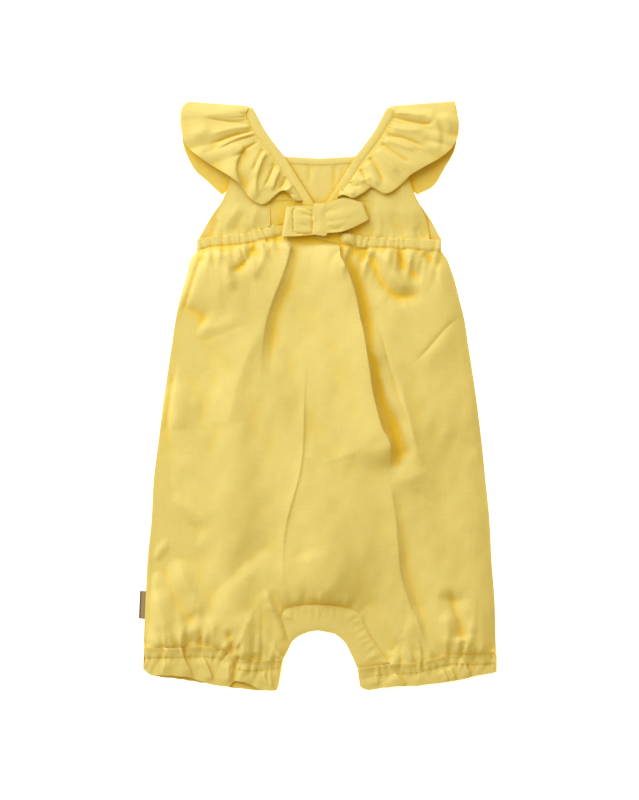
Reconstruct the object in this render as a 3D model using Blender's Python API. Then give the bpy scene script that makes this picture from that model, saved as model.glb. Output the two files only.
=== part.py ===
# A baby romper laid flat on its back: two wide body panels with short gathered legs,
# a V-necked bodice, a ruffle over each shoulder, and a bow at the foot of the V.
#
# The garment lies on the plane z = 0 with its front up and its neck towards +Y.
# Its origin is the middle of its box, on that plane. Every table is in millimetres.

import math

import bpy
import bmesh
import numpy as np
from mathutils import Vector
from mathutils.geometry import delaunay_2d_cdt

MM = 0.001                  # one millimetre in scene units
WALL = 1.2                  # one layer of cloth, with the seam allowance that backs it
GAP = 0.3                   # air between two pieces where they meet
LAYER = WALL + GAP          # how far one layer lies above the next
PUFF = 2.6                  # how far the gathered front stands off the back
ROUND = 14.0                # how soon the front reaches that height, inward from its seams
BODY_STEP = 11.0            # spacing of the points inside the body front
FINE_STEP = 7.0             # and inside smaller pieces
RUFFLE_UNDER = (134, 150)   # between these heights y the back bodice climbs onto the back ruffles

# ---------------------------------------------------------------- outlines, x and y

MIDDLE = 1.5                # x of the neck's and the bodice's middle
# Body side edges: height y, left x, right x.
BODY_SIDES = [
    (90, -103, 106),
    (59, -111, 114),
    (28, -115.5, 118.5),
    (-35, -124, 127),
    (-97, -130, 133),
    (-160, -134.2, 137.2),
]
# Lower and upper edges of the two front waist casings, and the short ungathered stretch between them.
WAIST_LEFT = [(-93, 112.5), (-80, 116), (-65, 117), (-50, 119.5), (-38, 123), (-23, 126.5)]
WAIST_LEFT_TOP = [(-93, 121.5), (-80, 124.5), (-62, 125.5), (-46, 130), (-37, 132.5), (-23, 134.5)]
WAIST_RIGHT = [(17, 119.5), (24, 116.5), (35, 115), (60, 114.5), (96, 112.5)]
WAIST_RIGHT_TOP = [(17, 128.5), (24, 128), (33, 123.8), (60, 122.3), (96, 121.5)]
WAIST_BACK = (112.5, 121.5)     # lower and upper edge of the back casing
# Leg hems: the seam above the elastic, and the free edge of the frill below it.
HEM_LEFT = [(-135.3, -196.5), (-118, -196.5), (-80, -196.5), (-65, -204), (-50, -206.5), (-27.5, -206)]
HEM_LEFT_EDGE = [(-135.6, -212.5), (-129, -217.5), (-86, -224.3), (-61, -228), (-36, -229.7), (-31, -226.5)]
HEM_RIGHT = [(31, -212.5), (57, -209.3), (76, -208.5), (100, -202.5), (119, -202), (138.6, -201.5)]
HEM_RIGHT_EDGE = [(34, -226), (40, -229), (58, -226.8), (76, -225.8), (95, -223.5), (120, -218.8), (138.8, -214.5)]
# The arch between the legs, from the left hem over to the right one. The gusset's front half starts
# at GUSSET_START on the arch and follows its seam to the right hem; the back half is its mirror image.
ARCH = [(-27.5, -206), (-25, -200.5), (-20.3, -191.5), (-11, -185.3), (0, -183), (12.5, -185.3),
        (21.8, -193), (27.5, -203), (31, -212.5)]
GUSSET_START = -22.5
GUSSET_SEAM = [(-29, -174), (-25, -166), (-12, -163), (8, -162.8), (24, -165.8), (32.5, -173),
               (40, -188), (48, -200), (57, -209.3)]
GUSSET_SEAM_BACK = [(-53, -206.3), (-44, -199), (-37, -188), (-29.5, -173), (-21, -165.8),
                    (-5, -162.8), (15, -163), (28, -166), (32, -174)]
GUSSET_END_BACK = 25.5
# Bodice, as distances from MIDDLE: armholes, shoulders and neck.
SHOULDER = 219.5
ARMHOLE_FRONT = [(86.5, 123), (81.5, 138), (74.5, 152.5), (68.5, 170), (68, 200), (71, SHOULDER)]
ARMHOLE_BACK = [(94.5, 121.5), (87, 137), (75.5, 152.5), (69.5, 170), (69, 200), (71, SHOULDER)]
PANEL_EDGE = 39             # the seam between a bodice front and the inset
INSET_TOP = 152             # height y of the inset's upper edge
NECK_FOOT = 134             # height y where the V binding ends, under the bow
NECK_IN = [(0.3, 142), (14.5, 164.5), (28.9, 187.2), (43.6, 207), (52, SHOULDER)]   # the V binding
NECK_OUT = [(3.8, NECK_FOOT), (20, 160), (34.8, 183.5), (49.6, 203.5), (59.4, SHOULDER)]
BACK_NECK_IN = [(0, 184.5), (20, 185.3), (29.2, 187.2), (43.6, 206), (52.5, SHOULDER)]
BACK_NECK_OUT = [(0, 178.8), (20, 179.6), (32.5, 182.5), (48.5, 203), (59, SHOULDER)]

# ---------------------------------------------------------------- folds and strips

# The largest folds of the body front. rise is the height of the crest (a trough is negative);
# west and east are its half widths to either side of a line that runs down the garment
# (south and north of one that runs across it, from left to right).
FOLDS = [
    dict(rise=1.4, west=14, east=7, line=[(-20, 118), (-27, 96), (-35, 74), (-41, 55), (-42, 25)]),
    dict(rise=2.6, west=22, east=8, line=[(15, 115), (21, 96), (28, 79), (34, 49), (41, 0), (54, -37), (57, -62)]),
    dict(rise=-2.0, west=8, east=8, line=[(33, 110), (42, 104), (53, 85), (68, 76), (84, 71)]),
    dict(rise=1.5, west=15, east=8, line=[(54, -60), (60, -97), (64, -137), (70, -160), (85, -195)]),
    dict(rise=-1.9, west=9, east=9, line=[(-126, -133), (-117, -140), (-104, -168), (-97, -188)]),
    dict(rise=-1.6, west=8, east=8, line=[(108, -158), (112, -178), (110, -195)]),
    dict(rise=-1.1, west=9, east=9, line=[(-104, 70), (-85, 71), (-64, 69)]),
    dict(rise=-1.3, west=9, east=9, line=[(-58, -130), (-70, -144), (-84, -158), (-80, -180)]),
    dict(rise=-1.4, west=8, east=8, line=[(50, -184), (59, -196), (70, -203)]),
]

# A strip's stations: where a line across it starts, at its seam, and ends, at its free edge, as (x, y, z).
# The left ruffle runs from the V up the binding, over the shoulder and down behind the strap.
RUFFLE_LEFT = [
    dict(seam=(-12.5, 153.5, 6.4), edge=(-19.5, 152.8, 7.6)),
    dict(seam=(-17, 157.5, 6.2), edge=(-27.5, 159.3, 10)),
    dict(seam=(-21.5, 163.5, 6.2), edge=(-43, 149.5, 8.6)),
    dict(seam=(-27.5, 172.5, 6.2), edge=(-57.5, 159.5, 9.4)),
    dict(seam=(-35, 184, 6.2), edge=(-74, 173.5, 8.2)),
    dict(seam=(-44.7, 197.5, 6.2), edge=(-91, 184.5, 9.4)),
    dict(seam=(-52.5, 209, 6.2), edge=(-103.5, 198, 7.6)),
    dict(seam=(-58.7, 220, 6.2), edge=(-106.5, 214, 6.6)),
    dict(seam=(-59.5, 226.2, 3.5), edge=(-103, 228.2, 3.5)),
    dict(seam=(-58.7, 220, 0.6), edge=(-106.5, 213, 0.6)),
    dict(seam=(-52, 208, 0.6), edge=(-104.5, 196, 0.6)),
    dict(seam=(-45.5, 199, 0.6), edge=(-101.5, 182, 0.6)),
    dict(seam=(-40, 191.5, 0.6), edge=(-89.5, 170, 0.6)),
    dict(seam=(-36, 186, 0.6), edge=(-75.5, 157, 0.6)),
]
RUFFLE_RIGHT = [
    dict(seam=(15.5, 154.5, 6.4), edge=(18, 160.5, 7.8)),
    dict(seam=(20.5, 158.5, 6.2), edge=(26.5, 154, 9.6)),
    dict(seam=(24.5, 163.5, 6.2), edge=(42, 161.8, 8.6)),
    dict(seam=(30.5, 172.5, 6.2), edge=(54.5, 157.5, 9.6)),
    dict(seam=(38, 184, 6.2), edge=(70, 170.3, 8.2)),
    dict(seam=(47.7, 197.5, 6.2), edge=(93.5, 183.8, 9.4)),
    dict(seam=(55.5, 209, 6.2), edge=(108.3, 199.5, 7.6)),
    dict(seam=(61.7, 220, 6.2), edge=(109.2, 214.5, 6.8)),
    dict(seam=(62.5, 226.2, 3.5), edge=(106, 229.2, 3.5)),
    dict(seam=(61.7, 220, 0.6), edge=(109, 213, 0.6)),
    dict(seam=(55, 208, 0.6), edge=(107.5, 196, 0.6)),
    dict(seam=(48.5, 199, 0.6), edge=(99, 179, 0.6)),
    dict(seam=(43, 191.5, 0.6), edge=(88.5, 161.5, 0.6)),
    dict(seam=(39, 186, 0.6), edge=(77.5, 157.3, 0.6)),
]
# Each bow loop is a strip folded back on itself: seam is its lower edge and edge its upper one.
BOW_LEFT = [
    dict(seam=(-5, 126, 5.8), edge=(-5, 145, 5.8)),
    dict(seam=(-15, 123.5, 5.8), edge=(-13, 147, 5.8)),
    dict(seam=(-25, 123.3, 6), edge=(-22.3, 147.2, 6)),
    dict(seam=(-27.6, 123.6, 8), edge=(-24.4, 146.8, 8)),
    dict(seam=(-25, 124, 10), edge=(-22.3, 146.8, 10)),
    dict(seam=(-15, 125, 10.4), edge=(-13, 147.4, 10.4)),
    dict(seam=(-5, 127, 9.4), edge=(-5, 145, 9.4)),
]
BOW_RIGHT = [
    dict(seam=(8.3, 127.5, 5.8), edge=(8.3, 148, 5.8)),
    dict(seam=(20, 128.5, 5.8), edge=(20, 151.4, 5.8)),
    dict(seam=(36, 135.8, 6), edge=(32.2, 150, 6)),
    dict(seam=(38.6, 137.5, 8), edge=(34.8, 149.5, 8)),
    dict(seam=(36, 135, 10), edge=(32.2, 150.5, 10)),
    dict(seam=(20, 127.8, 10.4), edge=(20, 151.6, 10.4)),
    dict(seam=(8.3, 127.5, 9.4), edge=(8.3, 148.2, 9.4)),
]
KNOT = [(-3.2, 125.6), (1.6, 124.8), (6.6, 125.6), (6.2, 137),
        (6.6, 148.2), (1.6, 148.9), (-3.2, 148.2), (-2.8, 137)]
KNOT_REST, KNOT_TOP = 5.1, 11.6     # it stands on the binding's foot and wraps over both loops
KNOT_RIM, KNOT_ROUND = 1.5, 1.8     # how high its rim stands, and how soon it reaches its full height
# The label hangs out of the left side seam: its four corners.
LABEL = [(-134.1, -152.6), (-134.95, -174.4), (-139.6, -173.9), (-138.6, -152.3)]
CASING_RISE = 2.0           # how much an elastic and its gathers swell a casing or a hem
HEM_SWELL, WAIST_SWELL = 4, 3   # half widths of that swelling
HEM_ELASTIC = 0.45          # where a hem's elastic runs, as a share of the way from its seam to its edge
SEAM_FLAT = 3.0             # how far inward of its seams the body front lies flat on the back
FOLD_FADE = 0.6             # below 1, a fold keeps its height until nearer its ends
CLEAR = 0.55                # how far inner points stay off an edge or a line, in steps

YELLOW = (0.76, 0.58, 0.16)
TAN = (0.44, 0.32, 0.15)


# ---------------------------------------------------------------- lines

def curve(points, step=FINE_STEP, count=None):
    """A smooth line through the points, with a point about every step, or with count points a stretch."""
    points = np.array(points, float)
    ends = [2 * points[0] - points[1], *points, 2 * points[-1] - points[-2]]
    line = []
    for before, a, b, after in zip(ends, ends[1:], ends[2:], ends[3:]):
        stretch = count or max(1, round(np.linalg.norm(b - a) / step))
        for t in np.arange(stretch) / stretch:
            bend = (2 * before - 5 * a + 4 * b - after) * t * t
            twist = (3 * a - before - 3 * b + after) * t * t * t
            line.append(a + 0.5 * ((b - before) * t + bend + twist))
    line.append(points[-1])
    return np.array(line)


def between(line, low, high):
    """The stretch of a line that runs from left to right between two values of x."""
    kept = line[(line[:, 0] > low + 0.5) & (line[:, 0] < high - 0.5)]
    ends = [(x, np.interp(x, line[:, 0], line[:, 1])) for x in (low, high)]
    return np.vstack([ends[:1], kept, ends[1:]])


def sided(line, side):
    """A bodice line on the right (side 1) or the left (side -1) of its middle."""
    return np.stack([MIDDLE + side * line[:, 0], line[:, 1]], 1)


def joined(*lines):
    """One closed outline from lines that run end to end."""
    outline = [lines[0][0]]
    for line in lines:
        for point in line:
            if np.linalg.norm(point - outline[-1]) > 0.5:
                outline.append(point)
    if np.linalg.norm(outline[0] - outline[-1]) < 0.5:
        outline.pop()
    return np.array(outline)


def distances(points, line):
    """For each point: how far to the left of the line it lies (negative to the right), and how far along, 0 to 1."""
    nearest = np.full(len(points), np.inf)
    side = np.zeros(len(points))
    along = np.zeros(len(points))
    lengths = np.linalg.norm(np.diff(line, axis=0), axis=1)
    starts = np.concatenate([[0], np.cumsum(lengths)])
    for a, b, length, start in zip(line, line[1:], lengths, starts):
        direction = (b - a) / length
        offset = points - a
        t = np.clip(offset @ direction, 0, length)
        gap = np.linalg.norm(offset - t[:, None] * direction, axis=1)
        left = direction[0] * offset[:, 1] - direction[1] * offset[:, 0]
        closer = gap < nearest
        nearest[closer] = gap[closer]
        side[closer] = np.where(left < 0, -gap, gap)[closer]
        along[closer] = (start + t)[closer] / starts[-1]
    return side, along


def inset_line(outline, distance):
    """The closed outline moved inward, for the half of a seam's gap that a piece gives up."""
    before = np.roll(outline, 1, axis=0)
    after = np.roll(outline, -1, axis=0)
    turn = 1 if np.sum(before[:, 0] * outline[:, 1] - outline[:, 0] * before[:, 1]) > 0 else -1
    one = (outline - before) / np.linalg.norm(outline - before, axis=1)[:, None]
    two = (after - outline) / np.linalg.norm(after - outline, axis=1)[:, None]
    inward = turn * np.stack([-(one + two)[:, 1], (one + two)[:, 0]], 1)
    inward /= np.maximum(np.linalg.norm(inward, axis=1), 1e-6)[:, None]
    cosine = np.clip(np.abs(inward[:, 0] * -one[:, 1] + inward[:, 1] * one[:, 0]), 0.5, 1)
    return outline + inward * (distance / cosine)[:, None]


def edge_distance(points, outline):
    closed_line = np.vstack([outline, outline[:1]])
    return np.abs(distances(points, closed_line)[0])


def inside(points, outline):
    """Which points lie inside the outline, by counting the edges that a line to the east crosses."""
    hits = np.zeros(len(points), int)
    for a, b in zip(outline, np.roll(outline, -1, axis=0)):
        spans = (a[1] > points[:, 1]) != (b[1] > points[:, 1])
        rise = b[1] - a[1] if b[1] != a[1] else 1e-9
        hits += spans & (points[:, 0] < a[0] + (points[:, 1] - a[1]) / rise * (b[0] - a[0]))
    return hits % 2 == 1


# ---------------------------------------------------------------- heights

def smooth(value, low, high):
    t = np.clip((value - low) / (high - low), 0, 1)
    return t * t * (3 - 2 * t)


def ground(points):
    return np.zeros(len(points))


def front_rest(points):
    """The underside of a front piece, which lies on one layer of cloth."""
    return np.full(len(points), LAYER)


def back_bodice_rest(points):
    """The underside of the back bodice: on the ground at the waist, on the back ruffles above."""
    return LAYER * smooth(points[:, 1], *RUFFLE_UNDER)


def front_bodice_rest(points):
    """The underside of the front bodice, which climbs a little sooner than the back one."""
    low, high = RUFFLE_UNDER
    return LAYER + (LAYER + GAP) * smooth(points[:, 1], low - FINE_STEP, high - FINE_STEP)


def body_front_rest(outline):
    """The underside of the body front: full in the middle, down on the back along its seams, with its folds."""
    lines = [curve(fold["line"], BODY_STEP) for fold in FOLDS]

    def rest(points):
        z = LAYER + PUFF * (1 - np.exp(-edge_distance(points, outline) / ROUND))
        for fold, line in zip(FOLDS, lines):
            side, along = distances(points, line)
            width = np.where(side > 0, fold["east"], fold["west"])
            fade = np.sin(math.pi * along) ** FOLD_FADE
            z = z + fold["rise"] * fade * np.exp(-((side / width) ** 2))
        near_seam = np.exp(-edge_distance(points, outline) / SEAM_FLAT)
        return np.maximum(LAYER, z * (1 - near_seam) + LAYER * near_seam)
    return rest


def swollen(rest, middle, rise, width):
    """The upper side of a casing: highest over the elastic, which runs along the middle line."""
    def top(points):
        across = distances(points, middle)[0] / width
        return rest(points) + WALL + rise * np.exp(-(across ** 2))
    return top


# ---------------------------------------------------------------- pieces

def material(name, colour, roughness):
    made = bpy.data.materials.new(name)
    made.use_nodes = True
    shader = made.node_tree.nodes["Principled BSDF"]
    shader.inputs["Base Color"].default_value = (*colour, 1)
    shader.inputs["Roughness"].default_value = roughness
    shader.inputs["Metallic"].default_value = 0
    return made


def finish(name, built, colour=YELLOW, roughness=0.9):
    """Makes an object of a bmesh that is in millimetres, with its own material."""
    bmesh.ops.scale(built, vec=(MM, MM, MM), verts=built.verts)
    bmesh.ops.recalc_face_normals(built, faces=built.faces)
    mesh = bpy.data.meshes.new(name)
    built.to_mesh(mesh)
    built.free()
    mesh.shade_smooth()
    mesh.set_sharp_from_angle(angle=math.radians(50))
    mesh.materials.append(material(name + "_cloth", colour, roughness))
    piece = bpy.data.objects.new(name, mesh)
    bpy.context.scene.collection.objects.link(piece)
    return piece


def lattice(outline, step, lines=()):
    """Points inside the outline, step apart and clear of its edge. Round each line they give way to its own."""
    low, high = outline.min(0), outline.max(0)
    rows = np.arange(low[1], high[1], step * math.sin(math.pi / 3))
    points = np.array([
        (x + step / 2 * (i % 2), y)
        for i, y in enumerate(rows)
        for x in np.arange(low[0], high[0], step)
    ])
    points = points[inside(points, outline)]
    points = points[edge_distance(points, outline) > CLEAR * step]
    for line in lines:
        points = points[np.abs(distances(points, line)[0]) > CLEAR * step]
        kept = line[inside(line, outline)]
        points = np.vstack([points, kept[edge_distance(kept, outline) > CLEAR * step]])
    return points


def panel(name, outline, rest, top=None, step=FINE_STEP, lines=(), colour=YELLOW):
    """Cloth that lies flat: its outline filled with points at the height of its underside, and again
    a wall higher. A padded piece such as a casing gives the height of its upper side itself."""
    outline = inset_line(outline, GAP / 2)
    points = [Vector(p) for p in (*outline, *lattice(outline, step, lines))]
    ring = list(range(len(outline)))
    points, _, faces, *_ = delaunay_2d_cdt(points, [], [ring], 1, 1e-4, False)
    flat = np.array([tuple(p) for p in points])
    middles = flat[np.array(faces)].mean(1)
    faces = [face for face, kept in zip(faces, inside(middles, outline)) if kept]
    low = rest(flat)
    high = top(flat) if top else low + WALL

    built = bmesh.new()
    below = [built.verts.new((x, y, z)) for (x, y), z in zip(flat, low)]
    above = [built.verts.new((x, y, z)) for (x, y), z in zip(flat, high)]
    edges = {(face[i - 1], face[i]) for face in faces for i in range(len(face))}
    for face in faces:
        built.faces.new([below[i] for i in reversed(face)])
        built.faces.new([above[i] for i in face])
    for a, b in edges:
        if (b, a) not in edges:
            built.faces.new([below[a], below[b], above[b], above[a]])
    return finish(name, built, colour)


def strip(name, stations, across, count=1):
    """A ribbon of cloth through its stations, with its wall round the surface that they give."""
    seam = curve([station["seam"] for station in stations], count=count)
    edge = curve([station["edge"] for station in stations], count=count)
    built = bmesh.new()
    rows = []
    for start, end in zip(seam, edge):
        row = start + (end - start) * np.linspace(0, 1, across + 1)[:, None]
        row[:, 2] = np.maximum(row[:, 2], WALL / 2)
        rows.append([built.verts.new(point) for point in row])
    for low, high in zip(rows, rows[1:]):
        for i in range(across):
            built.faces.new([low[i], low[i + 1], high[i + 1], high[i]])
    piece = finish(name, built)
    wall = piece.modifiers.new("Wall", "SOLIDIFY")
    wall.thickness = WALL * MM
    wall.offset = 0
    return piece


# ---------------------------------------------------------------- the garment

def side_edge(which):
    return curve([(row[which], row[0]) for row in BODY_SIDES], BODY_STEP)


def body(left_edge, right_edge):
    """Both body panels and the gusset's two halves."""
    hem_left, hem_right, arch = curve(HEM_LEFT), curve(HEM_RIGHT), curve(ARCH)
    seam, seam_back = curve(GUSSET_SEAM), curve(GUSSET_SEAM_BACK)
    front = joined(
        curve(WAIST_LEFT), curve(WAIST_RIGHT), right_edge,
        between(hem_right, GUSSET_SEAM[-1][0], HEM_RIGHT[-1][0])[::-1], seam[::-1],
        between(arch, HEM_LEFT[-1][0], GUSSET_START)[::-1], hem_left[::-1], left_edge[::-1],
    )
    creases = [curve(fold["line"], BODY_STEP) for fold in FOLDS]
    panel("body_front", front, body_front_rest(front), step=BODY_STEP, lines=creases)
    panel("crotch_gusset_front", joined(
        seam, between(hem_right, HEM_RIGHT[0][0], GUSSET_SEAM[-1][0])[::-1],
        between(arch, GUSSET_START, ARCH[-1][0])[::-1],
    ), front_rest)
    waist = WAIST_BACK[0]
    back = joined(
        np.array([(WAIST_LEFT[0][0], waist), (WAIST_RIGHT[-1][0], waist)]), right_edge, hem_right[::-1],
        between(arch, GUSSET_END_BACK, ARCH[-1][0])[::-1], seam_back[::-1],
        between(hem_left, HEM_LEFT[0][0], GUSSET_SEAM_BACK[0][0])[::-1], left_edge[::-1],
    )
    panel("body_back", back, ground, step=3 * BODY_STEP)
    panel("crotch_gusset_back", joined(
        seam_back, between(arch, HEM_LEFT[-1][0], GUSSET_END_BACK)[::-1],
        between(hem_left, GUSSET_SEAM_BACK[0][0], HEM_LEFT[-1][0])[::-1],
    ), ground)


def resampled(line, like):
    """The points of a line that runs from left to right, at the values of x of another one."""
    return np.stack([like[:, 0], np.interp(like[:, 0], line[:, 0], line[:, 1])], 1)


def leg_hems():
    for side, seam, edge in (("left", HEM_LEFT, HEM_LEFT_EDGE), ("right", HEM_RIGHT, HEM_RIGHT_EDGE)):
        seam, edge = curve(seam), curve(edge)
        outline = joined(seam, edge[::-1])
        elastic = seam + HEM_ELASTIC * (resampled(edge, seam) - seam)
        panel(f"leg_hem_back_{side}", outline, ground)
        panel(f"leg_hem_front_{side}", outline, front_rest, swollen(front_rest, elastic, CASING_RISE, HEM_SWELL))


def waist():
    for side, lower, upper in (("left", WAIST_LEFT, WAIST_LEFT_TOP), ("right", WAIST_RIGHT, WAIST_RIGHT_TOP)):
        low, high = curve(lower), curve(upper)
        elastic = (low + resampled(high, low)) / 2
        panel(f"waist_casing_{side}", joined(low, high[::-1]), front_rest,
              swollen(front_rest, elastic, CASING_RISE, WAIST_SWELL))
    low, high = WAIST_BACK
    left, right = WAIST_LEFT[0][0] - 1, WAIST_RIGHT[-1][0]
    panel("waist_casing_back", np.array([(left, low), (right, low), (right, high), (left, high)], float), ground)


def bodice():
    inner, outer = curve(NECK_IN), curve(NECK_OUT)
    back_inner, back_outer = curve(BACK_NECK_IN), curve(BACK_NECK_OUT)
    armhole, armhole_back = curve(ARMHOLE_FRONT), curve(ARMHOLE_BACK)
    for name, side, casing in (("left", -1, WAIST_LEFT_TOP), ("right", 1, WAIST_RIGHT_TOP)):
        tops = curve(casing)
        edge_x = MIDDLE + side * PANEL_EDGE
        hole = sided(armhole, side)
        hole[0, 1] = np.interp(hole[0, 0], tops[:, 0], tops[:, 1])
        low, high = sorted((edge_x, hole[0, 0]))
        seam = between(tops, low, high)[:: -side]
        neck = sided(outer[outer[:, 1] > INSET_TOP], side)
        foot = np.array([(MIDDLE + side * np.interp(INSET_TOP, outer[:, 1], outer[:, 0]), INSET_TOP)])
        panel(f"bodice_front_{name}", joined(
            seam, np.array([(edge_x, INSET_TOP)]), foot, neck, hole[::-1],
        ), front_bodice_rest)
        band = joined(sided(inner, side), sided(outer, side)[::-1], np.array([(MIDDLE + side * 0.3, NECK_FOOT)]))
        panel(f"neck_binding_{name}", band, front_bodice_rest, step=2 * FINE_STEP)

    left_top = between(curve(WAIST_LEFT_TOP), MIDDLE - PANEL_EDGE, WAIST_LEFT_TOP[-1][0])
    right_top = between(curve(WAIST_RIGHT_TOP), WAIST_RIGHT_TOP[0][0], MIDDLE + PANEL_EDGE)
    notch = outer[outer[:, 1] < INSET_TOP]
    notch = np.vstack([notch, [(np.interp(INSET_TOP, outer[:, 1], outer[:, 0]), INSET_TOP)]])
    panel("bodice_inset", joined(
        left_top, np.array([WAIST_LEFT[-1], WAIST_RIGHT[0]], float), right_top,
        np.array([(MIDDLE + PANEL_EDGE, INSET_TOP)]), sided(notch, 1)[::-1],
        sided(notch, -1), np.array([(MIDDLE - PANEL_EDGE, INSET_TOP)]),
    ), front_bodice_rest)

    neck = np.vstack([sided(back_outer, -1)[::-1], sided(back_outer, 1)[1:]])
    top = np.vstack([sided(back_inner, -1)[::-1], sided(back_inner, 1)[1:]])
    panel("bodice_back", joined(
        sided(armhole_back, 1), neck[::-1], sided(armhole_back, -1)[::-1],
    ), back_bodice_rest)
    panel("neck_binding_back", joined(neck, top[::-1]), back_bodice_rest, step=2 * FINE_STEP)


def trimmings():
    strip("ruffle_left", RUFFLE_LEFT, across=6, count=3)
    strip("ruffle_right", RUFFLE_RIGHT, across=6, count=3)
    strip("bow_loop_left", BOW_LEFT, across=3, count=2)
    strip("bow_loop_right", BOW_RIGHT, across=3, count=2)
    knot = np.array(KNOT, float)

    def knot_rest(points):
        return np.full(len(points), KNOT_REST)

    def knot_top(points):
        inward = edge_distance(points, knot) + KNOT_RIM
        return KNOT_REST + (KNOT_TOP - KNOT_REST) * (1 - np.exp(-inward / KNOT_ROUND))
    panel("bow_knot", knot, knot_rest, knot_top, step=2.2)
    panel("side_label", np.array(LABEL, float), ground, step=50, colour=TAN)


for leftover in list(bpy.data.objects):
    bpy.data.objects.remove(leftover, do_unlink=True)
body(side_edge(1), side_edge(2))
leg_hems()
waist()
bodice()
trimmings()
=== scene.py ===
import math

import bpy
import numpy as np
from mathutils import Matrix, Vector
from mathutils.bvhtree import BVHTree
from mathutils.geometry import delaunay_2d_cdt


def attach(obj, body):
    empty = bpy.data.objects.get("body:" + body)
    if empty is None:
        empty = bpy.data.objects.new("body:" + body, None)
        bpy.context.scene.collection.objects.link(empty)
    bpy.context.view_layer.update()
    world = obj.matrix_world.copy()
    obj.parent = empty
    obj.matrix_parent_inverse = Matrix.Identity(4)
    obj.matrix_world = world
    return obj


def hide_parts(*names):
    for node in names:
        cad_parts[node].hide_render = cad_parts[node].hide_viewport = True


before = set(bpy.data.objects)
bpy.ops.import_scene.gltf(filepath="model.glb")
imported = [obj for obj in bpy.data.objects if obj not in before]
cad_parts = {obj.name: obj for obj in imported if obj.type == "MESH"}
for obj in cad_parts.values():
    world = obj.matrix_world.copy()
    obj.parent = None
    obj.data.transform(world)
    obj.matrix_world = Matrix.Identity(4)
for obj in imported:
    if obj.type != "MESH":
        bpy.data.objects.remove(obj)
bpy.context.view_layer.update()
print("frame loaded:", len(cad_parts), "nodes")

mm = 0.001
wall = 0.7          # thickness of one layer of cloth in mm; every table below is in mm
layer = 1.5         # how far one layer lies above the one under it
middle = 1.5        # x of the middle of the neck and the bodice
seamGap = -0.5      # below 0, so the pieces overlap a little at their seams
samePoint = 0.4     # points closer than this count as one


# ---- lines and outlines

def smoothLine(points, step=3.0, count=None):
    # a smooth line through the points, one point about every step, or count points a stretch
    points = np.array(points, float)
    ends = [2 * points[0] - points[1], *points, 2 * points[-1] - points[-2]]
    line = []
    for before, a, b, after in zip(ends, ends[1:], ends[2:], ends[3:]):
        stretch = count or max(1, round(np.linalg.norm(b - a) / step))
        for t in np.arange(stretch) / stretch:
            bend = (2 * before - 5 * a + 4 * b - after) * t * t
            twist = (3 * a - before - 3 * b + after) * t * t * t
            line.append(a + 0.5 * ((b - before) * t + bend + twist))
    line.append(points[-1])
    return np.array(line)


def between(line, low, high):
    # the stretch of a line that runs left to right between two values of x
    kept = line[(line[:, 0] > low + samePoint) & (line[:, 0] < high - samePoint)]
    ends = [(x, np.interp(x, line[:, 0], line[:, 1])) for x in (low, high)]
    return np.vstack([ends[:1], kept, ends[1:]])


def lengthAlong(line):
    # how far along the line each of its points lies
    return np.concatenate([[0], np.cumsum(np.linalg.norm(np.diff(line, axis=0), axis=1))])


def leftOf(line):
    # the direction of the line's left at each of its points
    ahead = np.gradient(line, axis=0)
    ahead /= np.linalg.norm(ahead, axis=1)[:, None]
    return np.stack([-ahead[:, 1], ahead[:, 0]], 1)


def sided(line, side):
    # a bodice line on the right (1) or left (-1) of the middle
    return np.stack([middle + side * line[:, 0], line[:, 1]], 1)


def resampled(line, like):
    # the line's points where the other line has its own, counted along x
    return np.stack([like[:, 0], np.interp(like[:, 0], line[:, 0], line[:, 1])], 1)


def sharedOut(line, like):
    # the line's points at equal shares of its length, as many as in the other line
    share = np.linspace(0, 1, len(like))
    length = lengthAlong(line)
    length /= length[-1]
    return np.stack([np.interp(share, length, line[:, i]) for i in (0, 1)], 1)


def joined(*lines):
    # one closed outline from lines laid end to end
    outline = [lines[0][0]]
    for point in np.vstack(lines):
        if np.linalg.norm(point - outline[-1]) > samePoint:
            outline.append(point)
    if np.linalg.norm(outline[0] - outline[-1]) < samePoint:
        outline.pop()
    return np.array(outline, float)


def measure(points, line):
    # how far each point lies to the left of the line (negative to the right), how far along it
    # in mm, and the direction of its left
    nearest = np.full(len(points), np.inf)
    side, along = np.zeros(len(points)), np.zeros(len(points))
    left = np.zeros((len(points), 2))
    lengths = np.linalg.norm(np.diff(line, axis=0), axis=1)
    for a, b, length, start in zip(line, line[1:], lengths, lengthAlong(line)):
        direction = (b - a) / length
        offset = points - a
        t = np.clip(offset @ direction, 0, length)
        gap = np.linalg.norm(offset - t[:, None] * direction, axis=1)
        turn = direction[0] * offset[:, 1] - direction[1] * offset[:, 0]
        closer = gap < nearest
        nearest[closer] = gap[closer]
        side[closer] = np.where(turn < 0, -gap, gap)[closer]
        along[closer] = (start + t)[closer]
        left[closer] = (-direction[1], direction[0])
    return side, along, left


def awayFrom(points, *lines):
    # how far each point is from the nearest of the lines
    return np.min([np.abs(measure(points, line)[0]) for line in lines], axis=0)


def edgeDistance(points, outline):
    return awayFrom(points, np.vstack([outline, outline[:1]]))


def inside(points, outline):
    # whether each point lies within the closed outline
    hits = np.zeros(len(points), int)
    for a, b in zip(outline, np.roll(outline, -1, axis=0)):
        spans = (a[1] > points[:, 1]) != (b[1] > points[:, 1])
        rise = b[1] - a[1] if b[1] != a[1] else 1e-9
        hits += spans & (points[:, 0] < a[0] + (points[:, 1] - a[1]) / rise * (b[0] - a[0]))
    return hits % 2 == 1


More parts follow.
